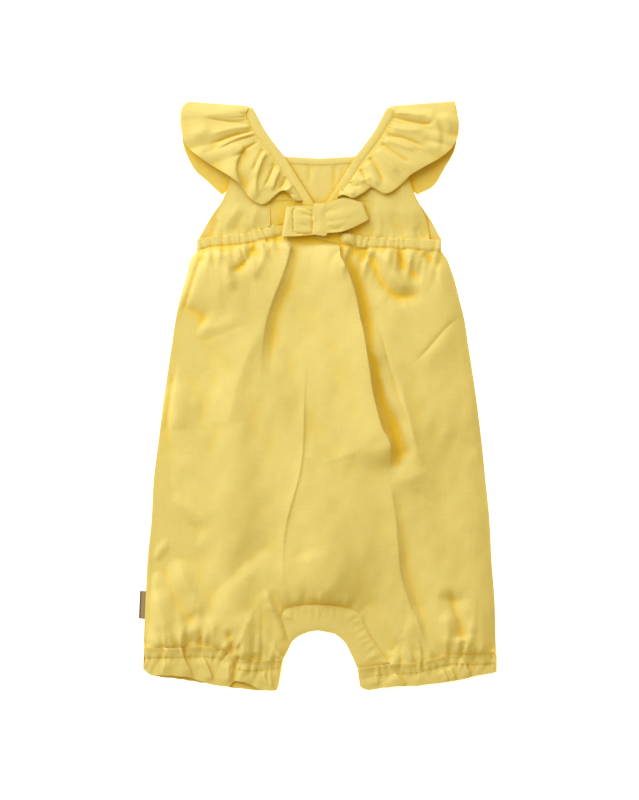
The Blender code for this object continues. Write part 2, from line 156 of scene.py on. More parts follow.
def drawnIn(outline, distance):
    # the closed outline moved inward, or outward where the distance is below 0
    before, after = np.roll(outline, 1, axis=0), np.roll(outline, -1, axis=0)
    turn = 1 if np.sum(before[:, 0] * outline[:, 1] - outline[:, 0] * before[:, 1]) > 0 else -1
    one = (outline - before) / np.linalg.norm(outline - before, axis=1)[:, None]
    two = (after - outline) / np.linalg.norm(after - outline, axis=1)[:, None]
    inward = turn * np.stack([-(one + two)[:, 1], (one + two)[:, 0]], 1)
    inward /= np.maximum(np.linalg.norm(inward, axis=1), 1e-6)[:, None]
    cosine = np.clip(np.abs(inward[:, 0] * -one[:, 1] + inward[:, 1] * one[:, 0]), 0.5, 1)
    return outline + inward * (distance / cosine)[:, None]


# ---- heights

def ease(value, low, high):
    # 0 below low, 1 above high, and smooth between them
    t = np.clip((value - low) / (high - low), 0, 1)
    return t * t * (3 - 2 * t)


def bell(value, width, power=2):
    # 1 in the middle, fading to 0 over about width on both sides
    return np.exp(-((value / width) ** power))


def softWaves(points, seed, size, height, stretch=(1, 1), count=14):
    # uneven soft swells about size across, the same on every run
    rng = np.random.default_rng(seed)
    total = np.zeros(len(points))
    for _ in range(count):
        angle, phase = rng.uniform(0, 2 * math.pi, 2)
        scale = rng.uniform(0.6, 1.7)
        direction = np.array([math.cos(angle) * stretch[0], math.sin(angle) * stretch[1]])
        total += np.sin(points @ direction * (2 * math.pi / (size * scale)) + phase)
    return height * total / math.sqrt(count)


foldLook = dict(reach=3.2, fade=0.3, power=1.4, pushWest=2.6, pushEast=0.9)


def foldAt(rise, west, east, *line, **more):
    # a fold along a line: rise is its height, below 0 for a trough, and west and east are its half
    # widths on the sides of a line that runs down the garment (south and north of one that runs
    # across). It may also have grow and fall, the lengths over which it starts and ends; lean, which
    # tips its crest over to the east; power, which squares it; and crisp, for closer points along it
    return dict(rise=rise, west=west, east=east, line=list(line), **more)


def layFolds(flat, folds):
    # the height and the sideways shift that the folds give each point
    rise = np.zeros(len(flat))
    shift = np.zeros((len(flat), 2))
    for fold in folds:
        line = smoothLine(fold["line"], 3)
        reach = foldLook["reach"] * max(fold["west"], fold["east"])
        low, high = line.min(0) - reach, line.max(0) + reach
        near = np.nonzero(((flat > low) & (flat < high)).all(1))[0]
        if not len(near):
            continue
        side, along, left = measure(flat[near], line)
        length = np.linalg.norm(np.diff(line, axis=0), axis=1).sum()
        fade = foldLook["fade"] * length
        grown = ease(along, -1e-3, fold.get("grow", fade))
        grown = grown * ease(length - along, -1e-3, fold.get("fall", fade))
        width = np.where(side > 0, fold["east"], fold["west"])
        power = fold.get("power", foldLook["power"])
        rise[near] += fold["rise"] * grown * np.exp(-np.abs(side / width) ** power)
        if fold.get("lean"):
            width = np.where(side > 0, foldLook["pushEast"], foldLook["pushWest"])
            shift[near] += (fold["lean"] * grown * bell(side, width))[:, None] * left
    return rise, shift


def gathers(seam, count, seed, reach=(12, 30), width=(1.4, 2.8), rise=(0.4, 1.1), spread=0.25, side=-1):
    # short uneven folds that leave a gathered seam, to its right (side -1) or its left (1)
    rng = np.random.default_rng(seed)
    length = lengthAlong(seam)
    folds = []
    for place in np.linspace(0.02, 0.98, count) + rng.uniform(-0.35, 0.35, count) / count:
        at = np.clip(place, 0, 1) * length[-1]
        start, ahead = (
            np.array([np.interp(spot, length, seam[:, i]) for i in (0, 1)]) for spot in (at, at + 2)
        )
        ahead = ahead - start
        if np.linalg.norm(ahead) < 1e-6:
            continue
        ahead /= np.linalg.norm(ahead)
        slant = rng.uniform(-spread, spread) + (place - 0.5) * spread
        out = side * np.array([-ahead[1], ahead[0]]) + ahead * slant
        far = rng.uniform(*reach)
        bend = ahead * rng.uniform(-0.12, 0.12) * far
        folds.append(foldAt(
            rng.uniform(*rise) * rng.choice([1, 1, -0.8]), rng.uniform(*width), rng.uniform(*width),
            start - out * 0.5, start + out * far * 0.5 + bend, start + out * far, grow=1.5, fall=0.7 * far,
        ))
    return folds


# ---- materials

cloth = dict(
    colour=(0.745, 0.575, 0.165),
    paintedShadeColour=(0.8, 0.5, 0.006),   # painted shade, deeper and more orange, in the hollows of folds and under close cloth
    paintedShadeAmount=0.85,
    glow=0.08,                      # light that passes through the threads
    glowReach=0.0015,
    roughness=0.88,
    sheen=0.12,
    threadSpacing=0.45,             # in mm
    weaveBump=0.22,
    slubAmount=0.03,                # how far thicker threads and soft patches change the tone
    patchAmount=0.03,
)


def newGroup(name, inputs, outputs):
    group = bpy.data.node_groups.new(name, "ShaderNodeTree")
    for label, kind, value in inputs:
        socket = group.interface.new_socket(label, in_out="INPUT", socket_type=kind)
        if value is not None:
            socket.default_value = value
    for label, kind in outputs:
        group.interface.new_socket(label, in_out="OUTPUT", socket_type=kind)
    return group, group.nodes.new("NodeGroupInput"), group.nodes.new("NodeGroupOutput")


def mathNode(tree, operation, a, b=None, c=None):
    node = tree.nodes.new("ShaderNodeMath")
    node.operation = operation
    for i, value in enumerate((a, b, c)):
        if value is None:
            continue
        if isinstance(value, (int, float)):
            node.inputs[i].default_value = value
        else:
            tree.links.new(value, node.inputs[i])
    return node.outputs[0]


def noiseNode(tree, vector, scale, detail=2):
    # soft noise about 0
    node = tree.nodes.new("ShaderNodeTexNoise")
    node.inputs["Scale"].default_value = scale
    node.inputs["Detail"].default_value = detail
    tree.links.new(vector, node.inputs["Vector"])
    return mathNode(tree, "SUBTRACT", node.outputs["Fac"], 0.5)


def makeWeaveGroup():
    # plain weave: crossing threads as a height, and uneven threads and soft patches as a tone near 1
    group, given, out = newGroup(
        "plainWeave",
        [("Vector", "NodeSocketVector", None), ("Spacing", "NodeSocketFloat", 0.00045),
         ("Slubs", "NodeSocketFloat", 0.05), ("Patches", "NodeSocketFloat", 0.03)],
        [("Height", "NodeSocketFloat"), ("Tone", "NodeSocketFloat")],
    )
    links = group.links
    place = given.outputs["Vector"]
    split = group.nodes.new("ShaderNodeSeparateXYZ")
    links.new(place, split.inputs[0])
    waves = []
    for axis in (0, 1):
        turns = mathNode(group, "DIVIDE", split.outputs[axis], given.outputs["Spacing"])
        waves.append(mathNode(group, "SINE", mathNode(group, "MULTIPLY", turns, math.pi)))
    over = mathNode(group, "MULTIPLY", *waves)
    streaks = []
    for scale in ((2200, 55, 1), (55, 2200, 1)):
        stretch = group.nodes.new("ShaderNodeMapping")
        stretch.inputs["Scale"].default_value = scale
        links.new(place, stretch.inputs["Vector"])
        streaks.append(noiseNode(group, stretch.outputs[0], 1))
    slubs = mathNode(group, "MULTIPLY", mathNode(group, "ADD", *streaks), given.outputs["Slubs"])
    patches = mathNode(group, "MULTIPLY", noiseNode(group, place, 60), given.outputs["Patches"])
    change = mathNode(group, "MULTIPLY", mathNode(group, "ADD", slubs, patches), 4.0)
    height = mathNode(group, "MULTIPLY_ADD", over, 0.5, mathNode(group, "MULTIPLY", slubs, 12.0))
    links.new(height, out.inputs["Height"])
    links.new(mathNode(group, "ADD", 1.0, change), out.inputs["Tone"])
    return group


def mixNode(tree, blend, factor, a, b):
    node = tree.nodes.new("ShaderNodeMix")
    node.data_type = "RGBA"
    node.blend_type = blend
    for socket, value in ((node.inputs[0], factor), (node.inputs[6], a), (node.inputs[7], b)):
        if isinstance(value, (int, float)):
            socket.default_value = value
        elif isinstance(value, tuple):
            socket.default_value = (*value, 1)
        else:
            tree.links.new(value, socket)
    return node.outputs[2]


def startMaterial(name, roughness, sheen):
    made = bpy.data.materials.new(name)
    made.use_nodes = True
    shader = made.node_tree.nodes["Principled BSDF"]
    shader.inputs["Roughness"].default_value = roughness
    shader.inputs["Sheen Weight"].default_value = sheen
    shader.inputs["Specular IOR Level"].default_value = 0.2
    return made, made.node_tree, shader


weaveGroup = makeWeaveGroup()


def weaveCoordinates(tree):
    node = tree.nodes.new("ShaderNodeUVMap")
    node.uv_map = "weave"
    return node.outputs[0]


def makeCloth(name="yellowCloth"):
    made, tree, shader = startMaterial(name, cloth["roughness"], cloth["sheen"])
    shader.inputs["Subsurface Weight"].default_value = cloth["glow"]
    shader.inputs["Subsurface Radius"].default_value = (1, 0.55, 0.05)
    shader.inputs["Subsurface Scale"].default_value = cloth["glowReach"]
    weave = tree.nodes.new("ShaderNodeGroup")
    weave.node_tree = weaveGroup
    weave.inputs["Spacing"].default_value = cloth["threadSpacing"] * mm
    weave.inputs["Slubs"].default_value = cloth["slubAmount"]
    weave.inputs["Patches"].default_value = cloth["patchAmount"]
    tree.links.new(weaveCoordinates(tree), weave.inputs["Vector"])
    # painted shade: the attribute read here turns the colour toward the shade colour in creases and under
    # close cloth
    paintedShade = tree.nodes.new("ShaderNodeAttribute")
    paintedShade.attribute_name = "paintedShade"
    amount = mathNode(tree, "MULTIPLY", paintedShade.outputs["Fac"], cloth["paintedShadeAmount"])
    base = mixNode(tree, "MIX", amount, cloth["colour"], cloth["paintedShadeColour"])
    tone = tree.nodes.new("ShaderNodeCombineColor")
    for i in range(3):
        tree.links.new(weave.outputs["Tone"], tone.inputs[i])
    tree.links.new(mixNode(tree, "MULTIPLY", 1.0, base, tone.outputs[0]), shader.inputs["Base Color"])
    bump = tree.nodes.new("ShaderNodeBump")
    bump.inputs["Strength"].default_value = cloth["weaveBump"]
    bump.inputs["Distance"].default_value = 0.0002
    tree.links.new(weave.outputs["Height"], bump.inputs["Height"])
    tree.links.new(bump.outputs[0], shader.inputs["Normal"])
    return made


labelLook = dict(
    colour=(0.34, 0.235, 0.11),
    stripeColour=(0.15, 0.095, 0.035),
    stripes=75,                     # how close the stripes stand
    stripeEdge=0.82,                # nearer to 1 makes them narrower
    roughness=0.7,
)


def makeLabelCloth():
    # woven ribbon with plain darker bands across it
    made, tree, shader = startMaterial("labelRibbon", labelLook["roughness"], 0.1)
    bands = tree.nodes.new("ShaderNodeTexWave")
    bands.bands_direction = "X"
    bands.inputs["Scale"].default_value = labelLook["stripes"]
    tree.links.new(weaveCoordinates(tree), bands.inputs["Vector"])
    sharp = mathNode(tree, "GREATER_THAN", bands.outputs["Fac"], labelLook["stripeEdge"])
    colour = mixNode(tree, "MIX", sharp, labelLook["colour"], labelLook["stripeColour"])
    tree.links.new(colour, shader.inputs["Base Color"])
    return made


yellowCloth = makeCloth()
labelRibbon = makeLabelCloth()
threadLook = dict(colour=(0.72, 0.53, 0.13), roughness=0.75, sheen=0.2)
sewingThread, _, shader = startMaterial("sewingThread", threadLook["roughness"], threadLook["sheen"])
shader.inputs["Base Color"].default_value = (*threadLook["colour"], 1)
print("materials made")


# ---- meshes

def beside(line, distance):
    # the line moved to its left
    return line + distance * leftOf(line)


creaseRows = (-1.6, -0.8, -0.25, 0.25, 0.7, 1.3, 2.1)    # the rows of points along a crease


def fillPoints(outline, step, creases=()):
    # points inside the outline, step apart; along a crease they stand in close rows on both sides of it
    low, high = outline.min(0), outline.max(0)
    rows = np.arange(low[1], high[1], step * math.sin(math.pi / 3))
    columns = np.arange(low[0], high[0], step)
    grid = np.array([(x + step / 2 * (i % 2), y) for i, y in enumerate(rows) for x in columns])
    grid = grid[inside(grid, outline)]
    grid = grid[edgeDistance(grid, outline) > 0.5 * step]
    extra = []
    for crease in creases:
        line = smoothLine(crease, 1.1)
        grid = grid[awayFrom(grid, line) > 2.4]
        extra = [row[awayFrom(row, line) > 2] for row in extra]
        extra += [beside(line, off) for off in creaseRows]
    for row in extra:
        kept = row[inside(row, outline)]
        grid = np.vstack([grid, kept[edgeDistance(kept, outline) > 0.35 * step]])
    return grid


def addUv(mesh, uvOfVertex):
    # cloth coordinates in metres, along and across the threads
    layerOfUv = mesh.uv_layers.new(name="weave")
    corners = np.empty(len(mesh.loops), np.int32)
    mesh.loops.foreach_get("vertex_index", corners)
    layerOfUv.uv.foreach_set("vector", (np.asarray(uvOfVertex, np.float32)[corners] * mm).ravel())


def placed(name, data):
    # a new object at the origin
    thing = bpy.data.objects.new(name, data)
    bpy.context.scene.collection.objects.link(thing)
    return thing


def finishPiece(name, points, faces, uv, material=yellowCloth, thickness=wall, offset=-1):
    mesh = bpy.data.meshes.new(name)
    mesh.from_pydata((np.asarray(points) * mm).tolist(), [], [list(f) for f in faces])
    mesh.update()
    addUv(mesh, uv)
    mesh.shade_smooth()
    mesh.materials.append(material)
    piece = placed(name, mesh)
    shell = piece.modifiers.new("wall", "SOLIDIFY")
    shell.thickness = thickness * mm
    shell.offset = offset
    return piece


def makeReal(piece):
    # what the piece's modifiers make of it becomes its own mesh
    graph = bpy.context.evaluated_depsgraph_get()
    solid = bpy.data.meshes.new_from_object(piece.evaluated_get(graph))
    piece.modifiers.clear()
    piece.data = solid
    return solid


def layPanel(name, outline, height, step, folds=(), creases=()):
    # a panel that lies flat: the outline filled with points, raised by height and by its folds
    outline = drawnIn(outline, seamGap / 2)
    source = [Vector(p) for p in (*outline, *fillPoints(outline, step, creases))]
    found, _, faces, *_ = delaunay_2d_cdt(source, [], [list(range(len(outline)))], 1, 1e-4, False)
    flat = np.array([tuple(p) for p in found])
    middles = flat[np.array(faces)].mean(1)
    faces = [face for face, kept in zip(faces, inside(middles, outline)) if kept]
    rise, shift = layFolds(flat, folds)
    z = height(flat, rise)
    return finishPiece(name, np.column_stack([flat + shift, z]), faces, flat)


def layStrip(name, stations, across, count, shape=None, material=yellowCloth, thickness=wall):
    # a ribbon through its stations, which say where a line across it starts and ends;
    # shape may move its points, given how far along and across they are
    seam, edge = (smoothLine([station[end] for station in stations], count=count) for end in (0, 1))
    t = np.linspace(0, 1, across + 1)
    grid = seam[:, None] + (edge - seam)[:, None] * t[None, :, None]
    rows = len(grid)
    u = lengthAlong(grid[:, across // 2])
    v = np.linalg.norm(grid - grid[:, :1], axis=2)
    if shape:
        grid = shape(grid, np.linspace(0, 1, rows)[:, None], t[None, :])
    uv = np.stack([np.broadcast_to(u[:, None], v.shape), v], 2).reshape(-1, 2)
    index = np.arange(rows * (across + 1)).reshape(rows, across + 1)
    faces = np.stack([index[:-1, :-1], index[:-1, 1:], index[1:, 1:], index[1:, :-1]], 2).reshape(-1, 4)
    return finishPiece(name, grid.reshape(-1, 3), faces, uv, material, thickness, offset=0)


# ---- folds, and painted shade in hollows and under close cloth

def puckers(along, seed, size, low=0.4, high=1.9, sharp=0.6, withReach=False):
    # the rounded ridges of gathered cloth, uneven in width and height, with narrow valleys, from 0 to 1,
    # and how far each ridge reaches compared with the others
    rng = np.random.default_rng(seed)
    ends = np.cumsum(rng.uniform(low, high, 400) * size)
    heights, reaches = rng.uniform(0.5, 1, 401), rng.uniform(0.35, 1.9, 401)
    cell = np.searchsorted(ends, np.clip(along, 0, ends[-2]))
    start = np.where(cell > 0, ends[np.maximum(cell - 1, 0)], 0)
    share = np.clip((along - start) / (ends[cell] - start), 0, 1)
    ridge = heights[cell] * np.sin(math.pi * share) ** sharp
    return (ridge, reaches[cell]) if withReach else ridge


def creaseShadeDepth(z, faces, rounds, depth):
    # how deep each point lies under the cloth round it, from 0 to 1, the mask for painted shade in creases
    faces = np.array([f[:3] for f in faces] + [(f[2], f[-1], f[0]) for f in faces if len(f) > 3])
    a = np.concatenate([faces[:, 0], faces[:, 1], faces[:, 2]])
    b = np.concatenate([faces[:, 1], faces[:, 2], faces[:, 0]])
    degree = np.bincount(a, minlength=len(z)) + np.bincount(b, minlength=len(z))
    level = z.copy()
    for _ in range(rounds):
        level = (np.bincount(a, level[b], len(z)) + np.bincount(b, level[a], len(z))) / np.maximum(degree, 1)
    return np.clip((level - z - 0.15) / depth, 0, 1)


# how much cloth that stands close darkens the colour as painted shade, less so on the legs
closedLook = dict(reach=0.010, rises=(16, 42), free=0.08, amount=2.1, own=0.6, legs=0.45)


def shadeCloseCloth(pieces):
    # cloth that other cloth stands close over or beside gets painted shade too
    points, faces = [], []
    for piece in pieces:
        start = len(points)
        points += [vertex.co for vertex in piece.data.vertices]
        faces += [[start + i for i in polygon.vertices] for polygon in piece.data.polygons]
    tree = BVHTree.FromPolygons(points, faces)
    rays = []
    for ring, rise in enumerate(closedLook["rises"]):
        for k in range(8):
            angle = math.pi * (k + 0.5 * ring) / 4
            ray = Vector((math.cos(angle), math.sin(angle), math.tan(math.radians(rise))))
            rays.append(ray.normalized())
    for piece in pieces:
        attribute = piece.data.attributes.get("paintedShade")
        if attribute is None:
            continue
        for vertex in piece.data.vertices:
            normal = vertex.normal
            if normal.z < 0.15:
                continue
            start = vertex.co + normal * 0.0003
            facing = [ray for ray in rays if ray.dot(normal) > 0]
            closed = sum(tree.ray_cast(start, ray, closedLook["reach"])[0] is not None for ray in facing)
            spot = attribute.data[vertex.index]
            shut = max(0, closed / len(rays) - closedLook["free"])
            legs = min(1, max(0, (-0.03 - vertex.co.y) / 0.06))
            share = 1 - legs * (1 - closedLook["legs"])
            spot.value = min(1, share * (closedLook["own"] * spot.value + closedLook["amount"] * shut))


def addPaintedShade(piece, rounds=40, depth=2.4, tone=None):
    # the painted shade of a piece's hollows as an attribute, which tone may change, given each point's place
    mesh = piece.data
    points = np.empty(len(mesh.vertices) * 3, np.float32)
    mesh.vertices.foreach_get("co", points)
    points = points.reshape(-1, 3).astype(float) / mm
    value = creaseShadeDepth(points[:, 2], [tuple(p.vertices) for p in mesh.polygons], rounds, depth)
    if tone:
        value = np.clip(tone(points[:, :2], value), 0, 1)
    mesh.attributes.new("paintedShade", "FLOAT", "POINT").data.foreach_set("value", value.astype(np.float32))


# ---- the body

bodyTables = dict(
    # side edges: height y, left x, right x
    sides=[
        (106, -99.1, 100.6), (90, -103, 106.1), (74.5, -107.6, 110), (59, -110.8, 113.9),
        (43, -113.1, 116.2), (28, -115.4, 118.6), (-3.5, -120.1, 123.2), (-35, -124, 127.1),
        (-66, -127.9, 130.3), (-97, -129.5, 133.4), (-128, -132.6, 134.9), (-160, -134.2, 137.3),
        (-191, -135.7, 138.1),
    ],
    waistLeft=[
        (-93.5, 112.5), (-82.7, 115.8), (-68.6, 116.6), (-53, 119), (-43.7, 121.3), (-35, 124), (-23, 126.5),
    ],
    waistLeftTop=[(-93.5, 121.8), (-80.3, 124), (-60.8, 125.2), (-45.2, 129.9), (-37.4, 132.2), (-23, 135)],
    waistRight=[(17, 118.5), (24, 116.5), (35, 115.5), (60, 114.8), (95.5, 112.5)],
    waistRightTop=[(17, 128.5), (24, 128), (32.8, 123.8), (44.5, 122.9), (60, 122.3), (95.5, 121)],
    hemLeft=[(-135.3, -196.5), (-118, -196.5), (-80, -196.5), (-65, -204), (-50, -206.5), (-27.5, -205)],
    hemLeftEdge=[
        (-135.9, -212.6), (-129.5, -218), (-110.8, -220.4), (-85.8, -224.3), (-60.8, -228.2),
        (-35.9, -229.7), (-31.2, -226.6),
    ],
    hemLeftFront=[
        (-135.9, -212.6), (-129.5, -217.8), (-122, -217.6), (-110.8, -218), (-98, -219.8), (-89, -223.2),
        (-81, -225), (-70, -226.4), (-65.5, -222.4), (-57, -223.2), (-50, -226.4), (-44, -228.9),
        (-35.9, -229.7), (-31.2, -226.6),
    ],
    hemRight=[(31, -212.5), (57, -209.3), (76, -208.5), (100, -202.5), (119, -202), (138.4, -201.5)],
    hemRightEdge=[
        (33, -226.5), (39, -228.9), (57.7, -226.6), (76.4, -225.8), (95.2, -223.5), (107.6, -221.9),
        (120.1, -218.8), (132.6, -216.5), (138.8, -214.9),
    ],
    arch=[
        (-27.5, -205), (-25, -200.9), (-20.3, -191.5), (-15.6, -187.6), (-10.9, -185.3), (-6.2, -183.7),
        (0, -182.9), (7.8, -184.3), (12.5, -185.3), (17.2, -188.4), (21.8, -193.1), (26.5, -202.4),
        (31, -212.5),
    ],
    gussetStart=-22.5,
    gussetSeam=[
        (-28.9, -173.6), (-26.5, -167), (-18.7, -164), (-3.4, -162.6), (10.1, -162.8), (24.2, -165.8),
        (32, -171.5), (38.2, -185), (46, -196.5), (50.7, -203), (57, -209.3),
    ],
    gussetSeamBack=[
        (-53, -206.3), (-44, -199), (-37, -188), (-29.5, -173), (-21, -165.8), (-5, -162.8), (15, -163),
        (28, -166), (32, -174),
    ],
    gussetEndBack=25.5,
)
bodyLook = dict(
    puff=6.5,               # how far the front stands up, and how far from its edge it gets there
    roundness=12,
    swell=1.7,              # heights of the uneven swells, from broad to fine
    slope=2.6,
    fine=0.16,
    foldScale=2.0,
    gatherRise=2.4,
    hemGatherRise=3.4,
    pointSpacing=1.75,
)
# the gathered seams: the seed and the width of their puckers, and how far these reach into the body
seamLook = dict(
    waistLeft=(71, 5.6, 12),
    waistRight=(72, 6.2, 12),
    hemLeft=(41, 8, 15),
    hemRight=(46, 7.5, 12),
)
bodyFolds = [
    # the pleat left of the middle, and the soft ridge that carries on from it
    foldAt(1.3, 12, 1.6, (-20.4, 118), (-26.5, 96.3), (-35.3, 73.7), (-40.6, 55.8), (-43.7, 30.6),
           (-44.8, 3), crisp=1, grow=4, fall=80),
    foldAt(-0.9, 4, 8, (-16, 118), (-19, 96), (-28, 73), (-34, 55), (-37, 30), (-38, 8)),
    foldAt(1, 9, 8, (-44, 57), (-47, 46.7), (-59.7, 19.2), (-67.7, -10.5), (-71, -30)),
    # the large pleat right of the middle, with the pocket beside it
    foldAt(3.9, 24, 2.4, (15.5, 119.1), (15.6, 108), (21.5, 96.3), (27.3, 79.3), (31, 60), (33.4, 49.5),
           (37.4, 24.6), (41.3, -0.4), (48.4, -26.9), (53.8, -36.3), (56.2, -58.1), lean=1.8, grow=4,
           fall=20),
    foldAt(-1.8, 4, 7, (24, 104), (33, 80), (38, 58), (42, 40)),
    foldAt(-3, 4.5, 7, (42, 40), (46, 18), (50, -4), (58, -28), (62, -45), (63, -62), grow=40, fall=18),
    foldAt(0.8, 5, 7, (32.8, 62), (39.7, 39.5), (48.9, 28), (55.8, 23.4)),
    foldAt(0.7, 2.2, 4, (44.5, 23.8), (53, 4.7), (61.2, -18.3)),
    foldAt(1.2, 4, 12, (50, 44), (60, 20), (69, -11.1), (79, -46.6)),
    foldAt(-0.6, 1.4, 1.4, (44, 64), (51, 40), (58, 15), (67, -15), (79, -48), crisp=1),
    foldAt(-1.5, 5, 4.5, (55, 0), (62, -25), (71, -50), grow=25, fall=8),
    foldAt(0.9, 9, 7, (56, -64), (64.7, -66), (76, -63), (86, -55)),
    foldAt(0.9, 9, 2.6, (62.4, 12.1), (76.8, -42.5), (82, -58.1)),
    # the curved trough under the right waist, and its neighbours
    foldAt(-2.7, 5.5, 6.5, (28.2, 117.6), (42, 106.1), (46.6, 94.6), (53.5, 83.1), (62.7, 76.8),
           (74.2, 77.4), (83.1, 71.4), grow=6),
    foldAt(1.4, 5, 5, (36, 116), (52, 106), (57, 95), (66, 85), (80, 84), grow=4),
    foldAt(-1.5, 3.5, 4, (61.2, 116.1), (65.2, 103.4), (74.1, 94.3), (81.1, 86.2), grow=3),
    foldAt(-1.1, 3, 3.5, (82, 112), (87.1, 105.2), (97, 98.3), grow=3),
    foldAt(-0.5, 1.6, 1.8, (114, 64), (100.6, 53.3), (84.2, 34.7), (73, 24), crisp=1),
    foldAt(0.4, 7, 7, (112, 50), (98, 42), (84, 24)),
    foldAt(-0.6, 9, 9, (98, -30), (112, -37), (126, -46)),
    foldAt(-0.25, 2, 2, (74, -73), (82, -79), (90, -86)),
    # the long ridge down to the right leg
    foldAt(1.5, 16, 3.6, (53.8, -58.9), (60.1, -97.1), (63.7, -136.9), (69.4, -158), (78, -179),
           (84.9, -198.5), lean=0.3, grow=30, fall=24),
    foldAt(-0.6, 4, 12, (66, -90), (70, -137), (77, -160), (90, -190)),
    foldAt(-1.5, 5, 6, (46, -184), (56, -194), (66, -202), grow=6),
    foldAt(-2.6, 5.5, 3.6, (102, -148), (107, -166), (111.5, -180), (113.5, -190), grow=16, fall=4),
    foldAt(1.5, 5, 5, (98, -168), (101, -184), (103, -198)),
    foldAt(1.4, 1.6, 5, (118, -172), (117, -189), (112.5, -204)),
    foldAt(-1.2, 6, 6, (91.3, -156.4), (105, -159), (118.6, -160.3)),
    # the left side
    foldAt(-1.5, 11, 6, (-106, 68), (-94, 62), (-84, 56)),
    foldAt(0.7, 8, 8, (-100, 52), (-84, 52), (-62, 60)),
    foldAt(-0.3, 3, 4, (-105.3, 39.5), (-92, 42), (-79.2, 46.4), (-65, 52), (-52.3, 55.8)),
    foldAt(1.3, 4, 4, (-74, 112), (-70, 94.8), (-64, 80), grow=3),
    foldAt(-1.6, 3, 3.5, (-50, 116), (-53.9, 107.3), (-59.7, 100.5), (-70, 94.8), grow=3),
    foldAt(1.2, 5, 4, (-36, 120), (-44, 104), (-52, 88), grow=3),
    foldAt(-0.12, 2.2, 2.6, (-122.6, -26.8), (-100, -26.5), (-78, -26), (-48.2, -17.4)),
    foldAt(-1.2, 6, 9, (-124, -93.2), (-103.7, -104.9), (-91.3, -115.8)),
    foldAt(0.9, 10, 10, (-118, -78), (-98, -90), (-84, -104)),
    foldAt(-2.9, 7, 12, (-131.1, -128), (-120.4, -137.3), (-114.1, -150.7), (-104.3, -168.6),
           (-97.1, -183.7), grow=10, fall=12),
    foldAt(2.4, 7, 8, (-112, -124), (-104, -142), (-94, -162), (-88, -180)),
    foldAt(1.5, 6, 5, (-128, -150), (-122, -168), (-116, -186)),
    foldAt(-1.5, 4, 5, (-104.5, -190), (-93, -193), (-79, -198)),
    foldAt(-1.3, 9, 11, (-27, -106), (-45, -122), (-60.4, -134), (-70, -144), (-81.1, -155), (-86, -172)),
    foldAt(0.8, 10, 10, (-30, -120), (-52, -138), (-68, -152), (-76, -170)),
    foldAt(-2, 3, 3.4, (-70, -180), (-67.5, -193), (-65, -206), fall=2),
    foldAt(1.7, 4, 4, (-86, -170), (-79, -188), (-71.5, -206), fall=3),
    foldAt(1.1, 8, 8, (-56, -166), (-54, -184), (-52, -203), fall=3),
    # broad slopes of the whole front
    foldAt(-2, 15, 26, (-84, 96), (-88, 60), (-95, 0), (-101, -60), (-106, -120), (-108, -150), grow=40,
           fall=30, power=2),
    foldAt(-0.9, 36, 14, (4, 100), (8, 40), (10, -30), (8, -100), grow=50, fall=60, power=2),
    foldAt(-1.3, 8, 20, (-99, 85), (-107, 60), (-114, 20), (-118, -35), (-122, -80), (-125, -120), grow=20,
           fall=20, power=2),
    foldAt(0.8, 18, 14, (-62, 70), (-64, 10), (-66, -60), (-60, -130), grow=40, fall=60, power=2),
    foldAt(-0.8, 12, 14, (96, 40), (92, 0), (96, -50), (92, -120), grow=30, fall=40, power=2),
    foldAt(0.8, 10, 14, (30, -60), (36, -100), (42, -150), grow=30, fall=40, power=2),
    foldAt(-0.9, 9, 14, (-120, -20), (-112, -40), (-98, -52)),
    foldAt(0.8, 9, 9, (-118, 10), (-104, -4), (-88, -8)),
    # the middle, and the crease that runs up from the gusset
    foldAt(0.55, 4, 1.1, (-8.2, 31.8), (-10.5, 7.8), (-12.8, -51.9), (-25.7, -105.7), (-27.3, -156.4),
           crisp=1),
    foldAt(1.2, 4, 1.6, (-41.6, -150), (-36, -164), (-30.9, -174), (-23.6, -189.9), grow=8, fall=4),
    foldAt(-0.7, 2, 3, (-37, -150), (-32, -163), (-29.5, -171), grow=8, fall=4),
    foldAt(1.4, 10, 10, (-10, -120), (0, -145), (12, -160), grow=10, fall=12),
    # the side seam, a little inside the left edge
    foldAt(-1.2, 1.6, 2.2, (-91, 108), (-97.5, 90), (-106.8, 59), (-111.5, 28), (-116, -3), (-119.5, -35),
           (-124, -66), (-126, -97), (-129, -128), (-131, -160), (-132.5, -192), grow=2, fall=30),
]


def bodyGathers():
    t = bodyTables
    low, high = dict(reach=(8, 34), rise=(0.5, 1.5)), dict(rise=(0.5, 1.4), side=1, spread=0.2)
    return [
        *gathers(smoothLine(t["waistLeft"], 2), 15, 3, **low),
        *gathers(smoothLine(t["waistRight"], 2), 17, 5, **low),
        *gathers(smoothLine(t["hemLeft"], 2), 22, 7, reach=(6, 26), **high),
        *gathers(smoothLine(t["hemRight"], 2), 24, 11, reach=(6, 28), **high),
        *gathers(smoothLine(t["gussetSeam"], 2), 20, 13, (6, 20), (1.1, 2), (0.3, 0.75), 0.1, 1),
    ]


def seamPuckers(flat, name):
    # how far each point is from a gathered seam, and the pucker of the cloth there, with its reach
    seed, size, _ = seamLook[name]
    far, along, _ = measure(flat, smoothLine(bodyTables[name], 1.5))
    rng = np.random.default_rng(seed + 500)
    slant = np.interp(along, np.linspace(0, 130, 14), rng.uniform(-0.35, 0.35, 14))
    ridge, reach = puckers(along - slant * far, seed, size, withReach=True)
    if name == "waistLeft":
        ridge = ridge * ease(-28 - flat[:, 0], 0, 8)
    return np.abs(far), ridge, reach


